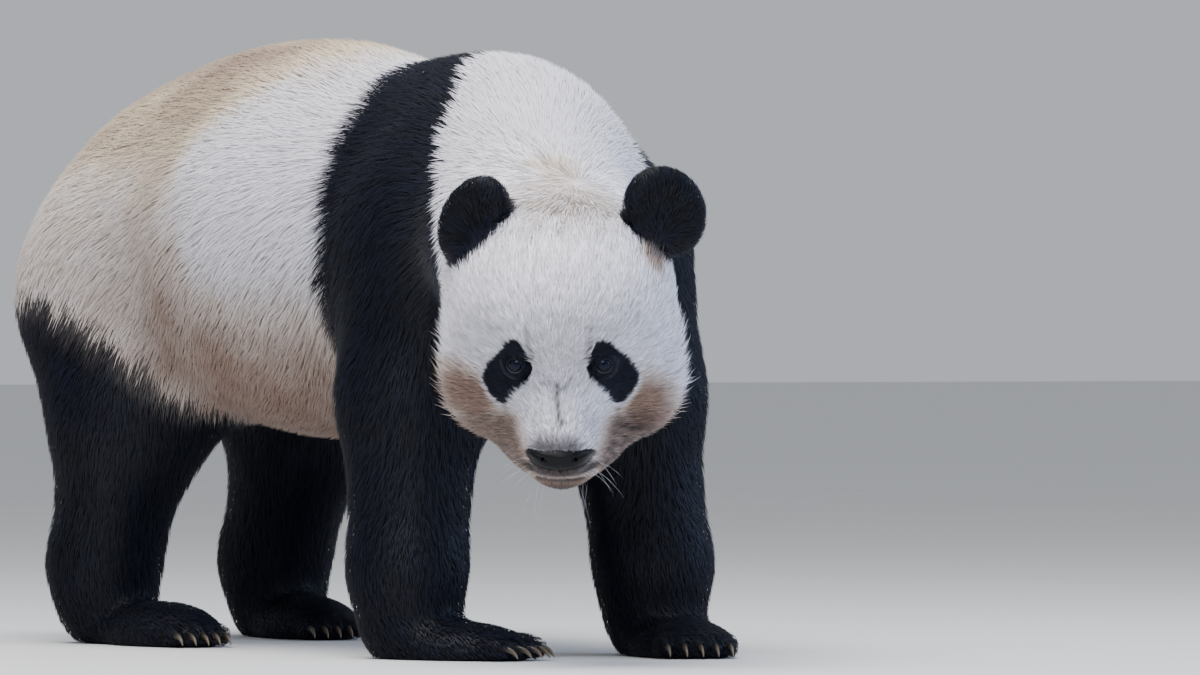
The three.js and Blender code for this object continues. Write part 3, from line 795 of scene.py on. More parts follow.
def body_stain_and_shade(p):
    """How tan the trunk is: all but a clean patch behind the shoulders, more on the belly's side, partly as
    painted shade where the body turns under and beside the foreleg, and along the back, less low on the rump."""
    _, y, z = p.T
    clean = np.hypot((y - 0.30) / 0.17, (z - 0.58) / 0.19)
    stain_and_shade = 0.66 * smooth(clean, 0.70, 1.60) * smooth(y, 0.18, 0.30)
    # darker low on the flank and beside the foreleg: partly tan, partly painted shade where the body turns
    # under
    stain_and_shade = 1 - (1 - stain_and_shade) * (1 - 0.68 * smooth(0.53 - z, 0.0, 0.19) * smooth(y, 0.14, 0.27))
    stain_and_shade = 1 - (1 - stain_and_shade) * (1 - 0.30 * smooth(z, 0.64, 0.73) * smooth(y, 0.26, 0.42))
    stain_and_shade = stain_and_shade + 0.10 * waves(p, 0.16, 5) * smooth(y, 0.30, 0.50)
    return stain_and_shade * (1 - 0.38 * smooth(y, 0.55, 0.66) * within(z, 0.58, 0.66))


def face_stain(q):
    """How tan the head is: an oval on each cheek, beside the muzzle, over the crown and nape, before the
    left ear, and on the chin."""
    u, v, _ = on_face(q)
    across = (u + 0.112) * 0.62 + (v + 0.092) * 0.78
    along = (u + 0.112) * 0.78 - (v + 0.092) * 0.62
    right = within(np.hypot(across / 0.036, along / 0.064), 0.30, 1.30)
    left = within(np.hypot((u - 0.100) / 0.046, (v + 0.108) / 0.052), 0.25, 1.30)
    cheeks = (0.95 * right + left) * (q[:, 1] < 0.05)
    cheeks = np.maximum(cheeks, 0.85 * smooth(beside_muzzle(u, v), -0.008, 0.016) * smooth(-v, 0.098, 0.122))
    crown = 0.38 * within(away(q, 0, 0.06, 0.135), 0.03, 0.11)
    crown = crown + 0.55 * within(away(q, -0.010, 0.160, 0.114), 0.0, 0.060)
    crown = crown * (1 + 0.45 * waves(q, 0.011, 25)).clip(0, 2)
    crown = crown + 0.85 * within(away(q, 0.114, 0.000, 0.087), 0.012, 0.034)
    chin = 0.95 * smooth(-v, 0.172, 0.196) * (q[:, 1] < -0.02)
    return np.maximum(cheeks + crown, chin) * (np.linalg.norm(q, axis=1) < FACE_REACH)


def markings(p, d):
    """How black the coat is at each point and how tan, each from 0 to 1; low on the trunk the tan is partly
    painted shade. No tan shows in the eye patches."""
    q = into_head(p)
    inside = black_depth(p, d, q)
    edge = 0.0045 - 0.0028 * headness(d) + 0.016 * smooth(p[:, 1], 0.45, 0.60)
    face = face_stain(q) * np.where(d[ROW["head"]] < HEAD_SKIN, smooth(patch_distance(q), -0.001, 0.007), 1)
    stain_and_shade = np.maximum(body_stain_and_shade(p), face) * within(inside, 0.0, 0.075)
    return smooth(inside, -edge, edge), np.clip(stain_and_shade, 0, 1)


# ---------------------------------------------------------------- the skin

LID_DENT = 0.009  # how deep the eye openings are pressed into the skin
SKIN_CELL = 0.0095
NOSE_CELL = 0.00115


def skin_size(p):
    """The longest edge the skin may have at a point: finest round the eyes, nose and mouth, then over the
    face."""
    q = into_head(p)
    s = mirrored(q)
    eyes = np.linalg.norm(s - EYE - vec(0, -0.012, 0), axis=1)
    mouth = np.linalg.norm((s - vec(0.015, -0.172, -0.100)) / (1.6, 1, 1), axis=1)
    size = 0.0011 + 0.0060 * smooth(eyes, 0.013, 0.045)
    size = np.minimum(size, 0.0022 + 0.0060 * smooth(mouth, 0.028, 0.060))
    return size + 0.02 * smooth(np.linalg.norm(q, axis=1), 0.16, 0.24)


def grounded(p):
    """The skin's field, cut off at the ground."""
    return np.maximum(skin_field(p), -p[:, 2])


def make_skin():
    """The skin: surface nets of the whole body, split finer over the face, with the lids' openings pressed
    in."""
    points, triangles = netted(grounded, (-0.36, -0.50, -0.03), (0.34, 1.08, 0.80), SKIN_CELL)
    points, triangles = refined(settled(skin_field, points), triangles, skin_size, skin_field, 6)
    points[:, 2] = np.maximum(points[:, 2], 0)
    q = into_head(points)
    dent = within(lid_distance(q), -0.0008, 0.0004)
    way = EYE_AXES[:, 2] * np.where(q[:, :1] < 0, vec(-1, 1, 1), 1)
    q = q - way * (dent * LID_DENT)[:, None]
    return q @ HEAD_TURN.T + HEAD, triangles


# ---------------------------------------------------------------- the coat


def ear_way(q, side):
    """The way the hair lies on an ear: out from a place at its foot."""
    middle = vec(*EARS[side]) * np.array((side, 1, 1)) - np.array((0, 0.012, 0.028))
    return unit(q - middle.astype(np.float32)) @ HEAD_TURN.T


def hair_way(p, d, normal):
    """The way the hair lies at each root: one direction for each mass, blended by nearness, and laid on the
    skin. On the face it runs away from the nose, on the nape away from the whorl, down the legs and back on
    the trunk."""
    q = into_head(p)
    weight = shares(d, 0.016)
    face = unit(q - NOSE_TIP)
    nape = unit(q - WHORL)
    behind = smooth(q[:, 1] - 0.25 * np.abs(q[:, 0]), -0.022, 0.018) * smooth(q[:, 2], 0.03, 0.09)
    low = within(p[:, 2:], 0.36, 0.74)
    ways = {
        "trunk": unit(np.concatenate([0 * low, 1 + 0 * low, -0.12 - 1.25 * low], 1)),
        "neck": unit(nape + vec(0, 0.1, -0.45) * within(p[:, 2:], 0.50, 0.70)) @ HEAD_TURN.T,
        "head": unit(face + (nape - face) * behind[:, None]) @ HEAD_TURN.T,
        "tail": vec(0, 0.25, -1),
        "ear-1": ear_way(q, -1),
        "ear1": ear_way(q, 1),
    }
    way = np.zeros_like(p)
    for name, row in ROW.items():
        on_limb = vec(0, -0.8, -0.6) if "paw" in name else vec(0, 0.22, -1)
        way += weight[row][:, None] * ways.get(name, on_limb)
    way -= (way * normal).sum(1, keepdims=True) * normal
    return unit(way)


def bare(q):
    """True where no tuft grows: in the eye opening and on the lid's rim, under the nose leather, in the
    mouth. A fringe grows over the leather's upper edge."""
    s = mirrored(q)
    across, up, _ = on_face(s)
    no = lid_distance(q) < 0.0009
    no |= (nose_leather(q) < 0.0002) & (up < leather_top(across) - 0.0008 + 0.0016 * waves(q, 0.003, 22))
    no |= rods(s, NOSTRILS) < 0.0010
    return no | (rods(s, MOUTH) < 0.0008 + 0.0007 * waves(q, 0.004, 23))


# How thickly each mass is sown, against the coverage asked for: the plain black legs least.
THICKNESS = np.array([0.60 if "paw" in name else 0.72 if "leg" in name else 1.2 for name in PARTS])
THICKNESS[[ROW["trunk"], ROW["neck"]]] = 0.95
SOLE = 0.006  # no tuft is rooted lower than this


def sown(points, triangles, coverage):
    """Roots spread over the skin, systematically by area, so that the tufts cover it that many times
    over."""
    a, b, c = (points[triangles[:, k]] for k in range(3))
    area = np.linalg.norm(np.cross(b - a, c - a), axis=1) / 2
    middle = (a + b + c) / 3
    d = in_chunks(masses, middle)
    _, length, width = coat_maps(middle, d)
    weight = area * coverage / (0.5 * length * width)
    weight *= THICKNESS[d.argmin(0)]
    weight[middle[:, 2] < SOLE] = 0
    total = np.cumsum(weight)
    which = np.searchsorted(total, np.arange(0.5, total[-1], 1.0))
    u, v = RNG.random((2, len(which)))
    over = u + v > 1
    u[over] = 1 - u[over]
    v[over] = 1 - v[over]
    a, b, c = a[which], b[which], c[which]
    return (a + (b - a) * u[:, None] + (c - a) * v[:, None]).astype(np.float32)


TILE_GAP = 0.004  # free space between the flat views and round them, as a share of the unit square
REGION_MARGIN = 0.005  # how far a flat view reaches past the roots it shows, in metres


def atlas_of(groups):
    """A shared UV map: where each group's six flat views lie in the unit square, as rows of tiles at one
    scale, tallest first. Groups are given by their lowest and highest corners. Returns each group's low
    corner, the corners of its tiles, and the scale."""
    sizes = []
    for name, (low, high) in groups.items():
        span = high - low + 2 * REGION_MARGIN
        for face in range(6):
            axis = face // 2
            sizes.append((span[(axis + 2) % 3], span[(axis + 1) % 3], name, face))
    sizes.sort(key=lambda s: -s[0])
    scale = 0.6 / math.sqrt(sum(s[0] * s[1] for s in sizes))
    while True:
        x, y, tall, tiles = TILE_GAP, TILE_GAP, 0, {}
        for h, w, name, face in sizes:
            if x + w * scale > 1 - TILE_GAP:
                x, y, tall = TILE_GAP, y + tall + TILE_GAP, 0
            tiles[name, face] = (x, y)
            x += w * scale + TILE_GAP
            tall = max(tall, h * scale)
        if y + tall < 1 - TILE_GAP:
            return {
                name: (groups[name][0], np.array([tiles[name, face] for face in range(6)], np.float32), scale)
                for name in groups
            }
        scale *= 0.97


def lay_out(obj, roots, normal, faces, patch, view):
    """The piece's UV map: a small patch for each tuft, at its root's place on six flat views of its
    region."""
    low, corners, scale = view
    axis = np.abs(normal).argmax(1)
    way_out = np.take_along_axis(normal, axis[:, None], 1)[:, 0] > 0
    u = np.take_along_axis(roots - low, ((axis + 1) % 3)[:, None], 1)[:, 0]
    v = np.take_along_axis(roots - low, ((axis + 2) % 3)[:, None], 1)[:, 0]
    place = corners[axis * 2 + way_out] + (np.stack([u, v], 1) + REGION_MARGIN) * scale
    uv = (place[:, None] + patch[None]).reshape(-1, 2)[faces.ravel()]
    layer = obj.data.uv_layers.new(name="OFBake")
    layer.data.foreach_set("uv", np.ascontiguousarray(uv, np.float32).ravel())


TUFT_FACES = [[0, 2, 1], [0, 3, 2], [0, 1, 3], [4, 1, 2], [4, 2, 3], [4, 3, 1]]
TUFT_ALONG = vec(0.0, 0.42, 0.42, 0.42, 1.0)
PATCH_SIZE = 0.0015  # half the height of a tuft's patch in the UV map
TUFT_PATCH = np.array([[0, -1], [-1, -0.2], [1, -0.2], [0, 0.35], [0, 1]], np.float32) * PATCH_SIZE


def tufts(roots, normal, way, length, width, rise):
    """Closed tufts of five points: the root, a ring of three about the belly, and the tip. The tip stands
    at the given rise over the skin, and the belly at 0.66 of that rise, 0.40 of the way out. Each point is
    shaded mostly as the skin under it."""
    side = np.cross(normal, way)
    flat = np.sqrt(np.maximum(length**2 - rise**2, (0.5 * length) ** 2))
    tip = roots + way * flat[:, None] + normal * rise[:, None]
    value, gradient = slope(skin_field, tip, 0.002)
    gradient = unit(gradient)
    tip += gradient * (np.clip(rise - value, -0.03, 0.03))[:, None]
    belly = roots + way * (0.40 * flat)[:, None] + normal * (0.66 * rise)[:, None]
    value = in_chunks(skin_field, belly)
    belly += unit(normal + gradient) * (np.clip(0.66 * rise - value, -0.02, 0.02))[:, None]
    points = [roots - normal * 0.0008]
    for angle in (90, 210, 330):
        a = math.radians(angle)
        points.append(belly + (math.cos(a) * side * 0.5 + math.sin(a) * normal * 0.34) * width[:, None])
    points = np.stack(points + [tip], 1)
    triangles = copied(TUFT_FACES, points.shape[1], len(roots))
    own = vertex_normals(points.reshape(-1, 3), triangles).reshape(-1, 5, 3)
    body = np.stack([normal, normal, normal, normal, gradient], 1)
    return points, triangles, unit(own * 0.26 + body * 0.92)


# Where whiskers are rooted, across and up the face: two rows beside the mouth, which stand out to the side,
# then a few on the chin.
LIP_SPOTS = [(0.040, -0.166), (0.043, -0.172), (0.037, -0.175), (0.040, -0.181), (0.033, -0.182)]
CHIN_SPOTS = [(0.030, -0.198), (0.021, -0.201), (0.026, -0.194)]
WHISKER_DROOP = 0.40  # how far a tip hangs, as a share of the length


def whiskers():
    """Roots, skin normals, starting ways and lengths of the whiskers on both sides of the face."""
    roots, ways = [], []
    for side in (-1, 1):
        for i, (u, v) in enumerate(LIP_SPOTS + CHIN_SPOTS):
            roots.append(surface_point(head, side * u, v, -0.004))
            out = 0.9 if i < len(LIP_SPOTS) else 0.25
            ways.append(side * np.array((out, 0, 0)) - (0.20 + 0.12 * i) * FACE_UP + 0.55 * FACE_OUT)
    r = np.random.default_rng(31)
    ways = unit(np.array(ways) + 0.20 * r.normal(size=(len(ways), 3)))
    roots = head_point(np.array(roots))
    normal = unit(slope(skin_field, roots, 0.0015)[1])
    return roots, normal, (ways @ HEAD_TURN.T).astype(np.float32), 0.030 + 0.016 * r.random(len(ways))


def make_whiskers(roots, normal, ways, length, view):
    """Long thin bristles: each a closed three-sided tube of three rings that droops to a point."""
    across = unit(np.cross(ways, vec(0, 0, 1)))
    up = np.cross(across, ways)
    points = [roots - ways * 0.001]
    for share, radius in ((0.15, 0.00012), (0.45, 0.00010), (0.75, 0.00007)):
        middle = roots + ways * (length * share)[:, None]
        middle[:, 2] -= WHISKER_DROOP * length * share * share
        for k in range(3):
            a = math.radians(120 * k + 90)
            points.append(middle + radius * (math.cos(a) * across + math.sin(a) * up))
    tip = roots + ways * length[:, None]
    tip[:, 2] -= WHISKER_DROOP * length
    points = np.stack(points + [tip], 1)
    one = [[0, 2, 1], [0, 3, 2], [0, 1, 3]]
    for ring in (1, 4):
        for k in range(3):
            a, b = ring + k, ring + (k + 1) % 3
            one += [[a, b, b + 3], [a, b + 3, a + 3]]
    one += [[10, 7, 8], [10, 8, 9], [10, 9, 7]]
    each = points.shape[1]
    faces = copied(one, each, len(roots))
    plain = {"along": 1.0, "stain_and_shade": 0.05, "tone": 0.8, "shade_and_smudge": 0.0}
    extra = {key: np.full(len(roots) * each, value) for key, value in plain.items()}
    obj = add_mesh("coat_whiskers_white", "white coat", points.reshape(-1, 3), faces, extra)
    patch = [[0, -1]] + [[x, y] for y in (-0.5, 0.0, 0.5) for x in (-1, 1, 0)] + [[0, 1]]
    lay_out(obj, roots, normal, faces, np.array(patch, np.float32) * PATCH_SIZE, view)


def coat_regions(p, d, black):
    """A piece name for each root: the nearest mass, with the flanks, the face and the crown told apart, and
    then white or black."""
    q = into_head(p)
    words = [name.replace("-1", "_right").replace("1", "_left") for name in PARTS]
    out = np.array(["ears" if "ear" in word else word for word in words])[d.argmin(0)]
    out = np.where(out == "trunk", np.where(p[:, 0] < 0, "flank_right", "flank_left"), out)
    cheek = np.where(q[:, 0] < 0, "cheek_right", "cheek_left")
    face = np.where(q[:, 2] > 0.018, "forehead", cheek)
    out = np.where(out == "head", np.where(q[:, 1] < -0.03, face, "crown"), out)
    return np.char.add(out, np.where(black > 0.5, "_black", "_white"))


STRAYS = 0.15  # share of the cheeks' tufts that stand out from the rest
DARK_HAIRS = 0.24  # share of the head's tufts that are darker than the rest


def make_coat(skin, triangles, coverage):
    """Sows the roots, works out how each tuft lies, and builds one piece for each region of the coat."""
    roots = sown(skin, triangles, coverage)
    roots = roots[~bare(into_head(roots))]
    normal = unit(slope(skin_field, roots, 0.0015)[1])
    d = in_chunks(masses, roots)
    depth, length, width = coat_maps(roots, d)
    way = hair_way(roots, d, normal)
    # no tuft reaches over an eye opening
    clear = np.ones(len(roots), bool)
    for share in (0.4, 0.8, 1.1):
        clear &= lid_distance(into_head(roots + way * (share * length)[:, None])) > 0.0004
    roots, normal, way, d = roots[clear], normal[clear], way[clear], d[:, clear]
    depth, length, width = depth[clear], length[clear], width[clear]
    count = len(roots)
    q = into_head(roots)
    muzzle, _, cheek = face_masks(q)
    on_head = headness(d)
    on_ear = np.isin(d.argmin(0), [ROW["ear-1"], ROW["ear1"]])
    streak = on_head * streaks(q)
    # how each tuft lies
    lock = 0.12 * waves(roots, 0.09, 11) + 0.10 * waves(roots, 0.03, 12) + 0.12 * RNG.normal(size=count)
    way = unit(way + np.cross(normal, way) * lock[:, None])
    length = length * (0.72 + 0.5 * RNG.random(count)) * (1 + 0.12 * waves(roots, 0.04, 13))
    length = length * (1 + 0.14 * streak)
    width = width * (0.75 + 0.5 * RNG.random(count))
    rise = depth * (0.60 - 0.25 * cheek + (0.42 + 0.33 * cheek) * RNG.random(count))
    rise = np.minimum(rise, 0.62 * length)
    stray = (RNG.random(count) < STRAYS) * cheek
    rise = rise * (1 + 0.45 * stray) * (1 + 0.20 * streak)
    length = length * (1 + 0.20 * stray)
    # what colour it is, with its painted shade, by the markings at the place where it is seen
    seen = roots + way * (0.45 * length)[:, None] + normal * (0.5 * rise)[:, None]
    black, stain_and_shade = markings(seen, in_chunks(masses, seen))
    tone = 0.5 * RNG.normal(size=count) + 0.6 * waves(roots, 0.025, 14) + 0.5 * waves(roots, 0.008, 15)
    tone = tone * (0.75 + 1.1 * on_head) + on_head * (1.5 - 6.5 * (RNG.random(count) < DARK_HAIRS))
    tone = tone + (6.0 + 6.0 * muzzle) * streak - 2.5 * on_ear
    looks = {"stain_and_shade": stain_and_shade, "tone": tone, "shade_and_smudge": shade_and_smudges(into_head(seen))}
    region = coat_regions(roots, d, (RNG.random(count) < black) | on_ear)
    # the pieces
    strands = whiskers()
    spans = {name: roots[region == name] for name in np.unique(region)} | {"whiskers_white": strands[0]}
    views = atlas_of({name: (spots.min(0), spots.max(0)) for name, spots in spans.items()})
    make_whiskers(*strands, views["whiskers_white"])
    for name in np.unique(region):
        at = np.flatnonzero(region == name)
        points, faces, shade = tufts(roots[at], normal[at], way[at], length[at], width[at], rise[at])
        points[..., 2] = np.maximum(points[..., 2], 0.0015 - SHIFT[2])
        extra = {key: np.repeat(values[at].astype(np.float32), 5) for key, values in looks.items()}
        extra["along"] = np.tile(TUFT_ALONG, len(at))
        look = "black coat" if name.endswith("black") else "white coat"
        obj = add_mesh("coat_" + name, look, points.reshape(-1, 3), faces, extra, shade.reshape(-1, 3))
        lay_out(obj, roots[at], normal[at], faces, TUFT_PATCH, views[name])


# ---------------------------------------------------------------- eyes, nose leather, claws


def revolved(radius_at, turn, centre, rings, sides):
    """A closed surface of revolution about an axis: the radius is a function of the angle from the axis.
    Returns its points, its triangles, and the points as they were before they were turned and moved."""
    a = np.repeat(np.linspace(0, math.pi, rings + 2)[1:-1], sides)
    b = np.tile(np.arange(sides) * (2 * math.pi / sides), rings)
    r = radius_at(a)
    ball = np.stack([r * np.sin(a) * np.cos(b), r * np.sin(a) * np.sin(b), r * np.cos(a)], 1)
    ends = np.array([[0, 0, radius_at(np.zeros(1))[0]], [0, 0, -radius_at(np.full(1, math.pi))[0]]])
    ball = np.concatenate([ball, ends])
    grid = np.arange(rings * sides).reshape(rings, sides)
    ahead = np.roll(grid, -1, 1)
    top = np.full(sides, rings * sides)
    triangles = ring_faces(
        (grid[:-1], grid[1:], ahead[1:]),
        (grid[:-1], ahead[1:], ahead[:-1]),
        (top, grid[0], ahead[0]),
        (top + 1, ahead[-1], grid[-1]),
    )
    points = ball @ np.asarray(turn).T + centre
    return points.astype(np.float32), triangles, ball


def look_at(way):
    """A matrix whose third column is the way, and whose second is as near up as it can be."""
    z = unit(np.array(way, np.float64))
    x = unit(np.cross((0, 0, 1), z))
    return np.stack([x, np.cross(z, x), z], 1)


def eye_radius(a):
    """The eyeball's radius at an angle from its axis: a ball with a clear bulge in front."""
    return EYE_RADIUS + 0.0008 * within(a, 0.30, 0.72)


def make_eye(name, side):
    """An eyeball with a clear bulge before the iris. It looks where the head is turned."""
    turn = look_at((-0.56 + 0.05 * side, -0.83 + 0.03 * side, 0.0))
    centre = head_point(EYE * vec(side, 1, 1))
    points, triangles, ball = revolved(eye_radius, turn, centre, 46, 64)
    extra = {"iris_" + key: ball[:, k] * 1000 for k, key in enumerate("xyz")}
    obj = add_mesh(name, "eye", points, triangles, extra)
    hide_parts(name.replace("eyeball", "eye"))


def make_nose():
    """The nose leather, by surface nets of its own field."""
    q, triangles = netted(nose_leather, (-0.048, -0.215, -0.108), (0.048, -0.128, -0.044), NOSE_CELL)
    q = settled(nose_leather, q, rounds=2, most=0.002)
    s = mirrored(q)
    # painted shade in the nostrils
    deep = smooth(-leather_surface(s), 0.0002, 0.0014) * within(rods(s, NOSTRILS), 0.0006, 0.0020)
    obj = add_mesh("nose_pad", "nose leather", head_point(q), triangles, {"deep": deep})
    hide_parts("nose")


CLAW_LENGTH = 0.027
CLAW_RADIUS = 0.0050
CLAW_BEND = 52  # degrees from root to point


def make_claws(kind, side):
    """The five claws of a paw. Each is a tapered tube along an arc, rounded at the root, with a blunt
    point."""
    sides = 14
    t = np.concatenate([np.linspace(0, 0.86, 14), (0.92, 0.97)])
    angle = np.radians(CLAW_BEND * t * t)
    reach = CLAW_LENGTH * t
    r = CLAW_RADIUS * (1 - 0.80 * t**1.3) * np.where(t < 0.05, 0.6, 1) * np.where(t > 0.9, 0.75, 1)
    a = (np.arange(sides) * (2 * math.pi / sides))[None, :, None]
    down = np.stack([0 * angle, -np.sin(angle), np.cos(angle)], 1)
    across = 0.75 * np.cos(a) * np.array((1, 0, 0)) + np.sin(a) * down[:, None]
    grid = np.arange(len(t) * sides).reshape(len(t), sides)
    ahead = np.roll(grid, -1, 1)
    root = np.full(sides, grid.size)
    triangles = ring_faces(
        (grid[:-1], ahead[:-1], grid[1:]),
        (ahead[:-1], ahead[1:], grid[1:]),
        (root, ahead[0], grid[0]),
        (root + 1, grid[-1], ahead[-1]),
    )
    along = np.append(np.repeat(t, sides), (0.0, 1.0))
    word = "left" if side > 0 else "right"
    for i in range(5):
        x, y, z = toe_at(kind, side, i)
        arc = (x + 0 * t, y - 0.013 - reach * np.cos(angle / 2), z - reach * np.sin(angle / 2))
        middle = np.stack(arc, 1)
        tube = (middle[:, None] + r[:, None, None] * across).reshape(-1, 3)
        ends = np.stack([middle[0] + (0, 0.0015, 0), middle[-1] + (middle[-1] - middle[-2]) * 0.6])
        points = np.concatenate([tube, ends]) @ paw_turn(kind, side).T + np.array(LEGS[kind, side][3])
        obj = add_mesh(f"{kind}claw_horn_{word}_{i + 1}", "claw horn", points, triangles, {"along": along})
        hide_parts(f"{kind}claw_{word}_{i + 1}")


# ---------------------------------------------------------------- materials


class Nodes:
    """Short ways to add linked nodes to a tree. A value may be a number, a colour or another node's
    socket."""

    def __init__(self, tree):
        self.tree = tree

    def new(self, kind, **settings):
        node = self.tree.nodes.new("ShaderNode" + kind)
        for key, value in settings.items():
            setattr(node, key, value)
        return node

    def put(self, socket, value):
        if isinstance(value, bpy.types.NodeSocket):
            self.tree.links.new(value, socket)
        else:
            socket.default_value = value

    def math(self, kind, a, b=0.0, clamp=False):
        node = self.new("Math", operation=kind, use_clamp=clamp)
        self.put(node.inputs[0], a)
        self.put(node.inputs[1], b)
        return node.outputs[0]

    def times(self, a, b):
        return self.math("MULTIPLY", a, b)

    def plus(self, a, b):
        return self.math("ADD", a, b)

    def less(self, a, b):
        return self.math("SUBTRACT", a, b)

    def reach(self, a, b):
        """The distance of a point from the origin, by its two places."""
        return self.math("SQRT", self.plus(self.times(a, a), self.times(b, b)))

    def range(self, value, low, high, to_low=0.0, to_high=1.0):
        node = self.new("MapRange", interpolation_type="SMOOTHSTEP")
        for socket, v in zip(node.inputs, (value, low, high, to_low, to_high)):
            self.put(socket, v)
        return node.outputs[0]

    def mix(self, share, a, b, blend="MIX"):
        node = self.new("Mix", data_type="RGBA", blend_type=blend)
        self.put(node.inputs[0], share)
        self.put(node.inputs[6], a)
        self.put(node.inputs[7], b)
        return node.outputs[2]

    def attribute(self, name):
        return self.new("Attribute", attribute_name=name).outputs["Fac"]

    def place(self):
        return self.new("TexCoord").outputs["Object"]

    def noise(self, place, scale, detail=3.0):
        node = self.new("TexNoise")
        self.put(node.inputs["Vector"], place)
        node.inputs["Scale"].default_value = scale
        node.inputs["Detail"].default_value = detail
        node.inputs["Roughness"].default_value = 0.55
        return node.outputs["Fac"]

    def cells(self, place, scale):
        node = self.new("TexVoronoi")
        self.put(node.inputs["Vector"], place)
        node.inputs["Scale"].default_value = scale
        return node.outputs["Distance"]

    def bump(self, height, distance, strength):
        node = self.new("Bump")
        node.inputs["Strength"].default_value = strength
        node.inputs["Distance"].default_value = distance
        self.put(node.inputs["Height"], height)
        return node.outputs["Normal"]

    def group(self, tree, **inputs):
        node = self.new("Group", node_tree=tree)
        for key, value in inputs.items():
            self.put(node.inputs[key], value)
        return node.outputs


def rgb(r, g, b):
    """A colour with its alpha, from sRGB bytes to linear light."""
    line = [c / 255 for c in (r, g, b)]
    return tuple(c / 12.92 if c < 0.04045 else ((c + 0.055) / 1.055) ** 2.4 for c in line) + (1.0,)


def coat_group():
    """Colour and roughness of hair or skin: white, cream and tan by stains that are partly painted shade,
    black by its mask with a blue that is partly a painted cool reflection, darkened on the face by painted
    shade and grey patches, darker at the root as painted shade between the tufts, with each tuft's own tone
    and a fine mottle."""
    tree = bpy.data.node_groups.new("hair colour", "ShaderNodeTree")
    for key in ("Black", "Stain_And_Shade", "Shade_And_Smudge", "Tone", "Along"):
        tree.interface.new_socket(name=key, in_out="INPUT", socket_type="NodeSocketFloat")
    for key, kind in (("Color", "Color"), ("Roughness", "Float")):
        tree.interface.new_socket(name=key, in_out="OUTPUT", socket_type="NodeSocket" + kind)
    g = tree.nodes.new("NodeGroupInput").outputs
    out = tree.nodes.new("NodeGroupOutput").inputs
    n = Nodes(tree)
    place = n.place()
    fine = n.noise(place, 190.0, 2.0)
    mottle = n.times(n.less(n.noise(place, 24.0), 0.5), 0.34)
    stain_and_shade = n.math("ADD", g["Stain_And_Shade"], mottle, clamp=True)
    high = n.new("SeparateXYZ")
    n.put(high.inputs[0], place)
    cream = n.mix(n.range(high.outputs[2], 0.50, 0.68), rgb(212, 198, 190), rgb(222, 203, 174))
    pale = n.mix(n.range(stain_and_shade, 0.02, 0.55), rgb(237, 235, 245), cream)
    pale = n.mix(n.range(stain_and_shade, 0.40, 1.0), pale, rgb(146, 120, 106))
    # hair darkened towards grey brown by the face's painted shade and its grey patches
    pale = n.mix(g["Shade_And_Smudge"], pale, rgb(50, 42, 45))
    # the root is darker: painted shade between the tufts
    root = n.range(g["Along"], 0.0, 0.75)
    pale = n.mix(n.less(1.0, root), pale, n.mix(0.34, pale, rgb(134, 118, 114)))
    light = n.plus(1.0, n.times(g["Tone"], 0.055))
    light = n.plus(light, n.times(n.less(fine, 0.5), 0.22))
    # blue-black hair: the blue is partly a painted cool reflection
    dark = n.mix(n.range(g["Tone"], -1.2, 1.6), rgb(5, 7, 17), rgb(14, 19, 39))
    dark = n.mix(n.times(n.range(g["Stain_And_Shade"], 0.15, 0.9), root), dark, rgb(112, 104, 100))
    shade = n.new("CombineColor")
    for k in range(3):
        n.put(shade.inputs[k], light)
    n.put(out["Color"], n.mix(1.0, n.mix(g["Black"], pale, dark), shade.outputs[0], "MULTIPLY"))
    n.put(out["Roughness"], n.plus(n.times(g["Black"], -0.22), n.plus(0.66, n.times(fine, 0.12))))
    return tree


def material(name, constants):
    """A material with a Principled shader and some constants on its sockets. Returns it with the shader's
    sockets and a helper to add nodes."""
    made = bpy.data.materials.new(name)
    made.use_nodes = True
    sockets = made.node_tree.nodes["Principled BSDF"].inputs
    for key, value in constants.items():
        sockets[key].default_value = value
    return made, sockets, Nodes(made.node_tree)


def coat_material(name, hair, black, sheen):
    """Hair: the shared colours by the tufts' attributes, with a soft sheen."""
    constants = {"Specular IOR Level": 0.25, "Sheen Weight": sheen, "Sheen Roughness": 0.45}
    made, sockets, n = material(name, constants)
    marks = {key.title(): n.attribute(key) for key in ("stain_and_shade", "shade_and_smudge", "tone", "along")}
    out = n.group(hair, Black=black, **marks)
    n.put(sockets["Base Color"], out["Color"])
    n.put(sockets["Roughness"], out["Roughness"])
    return made


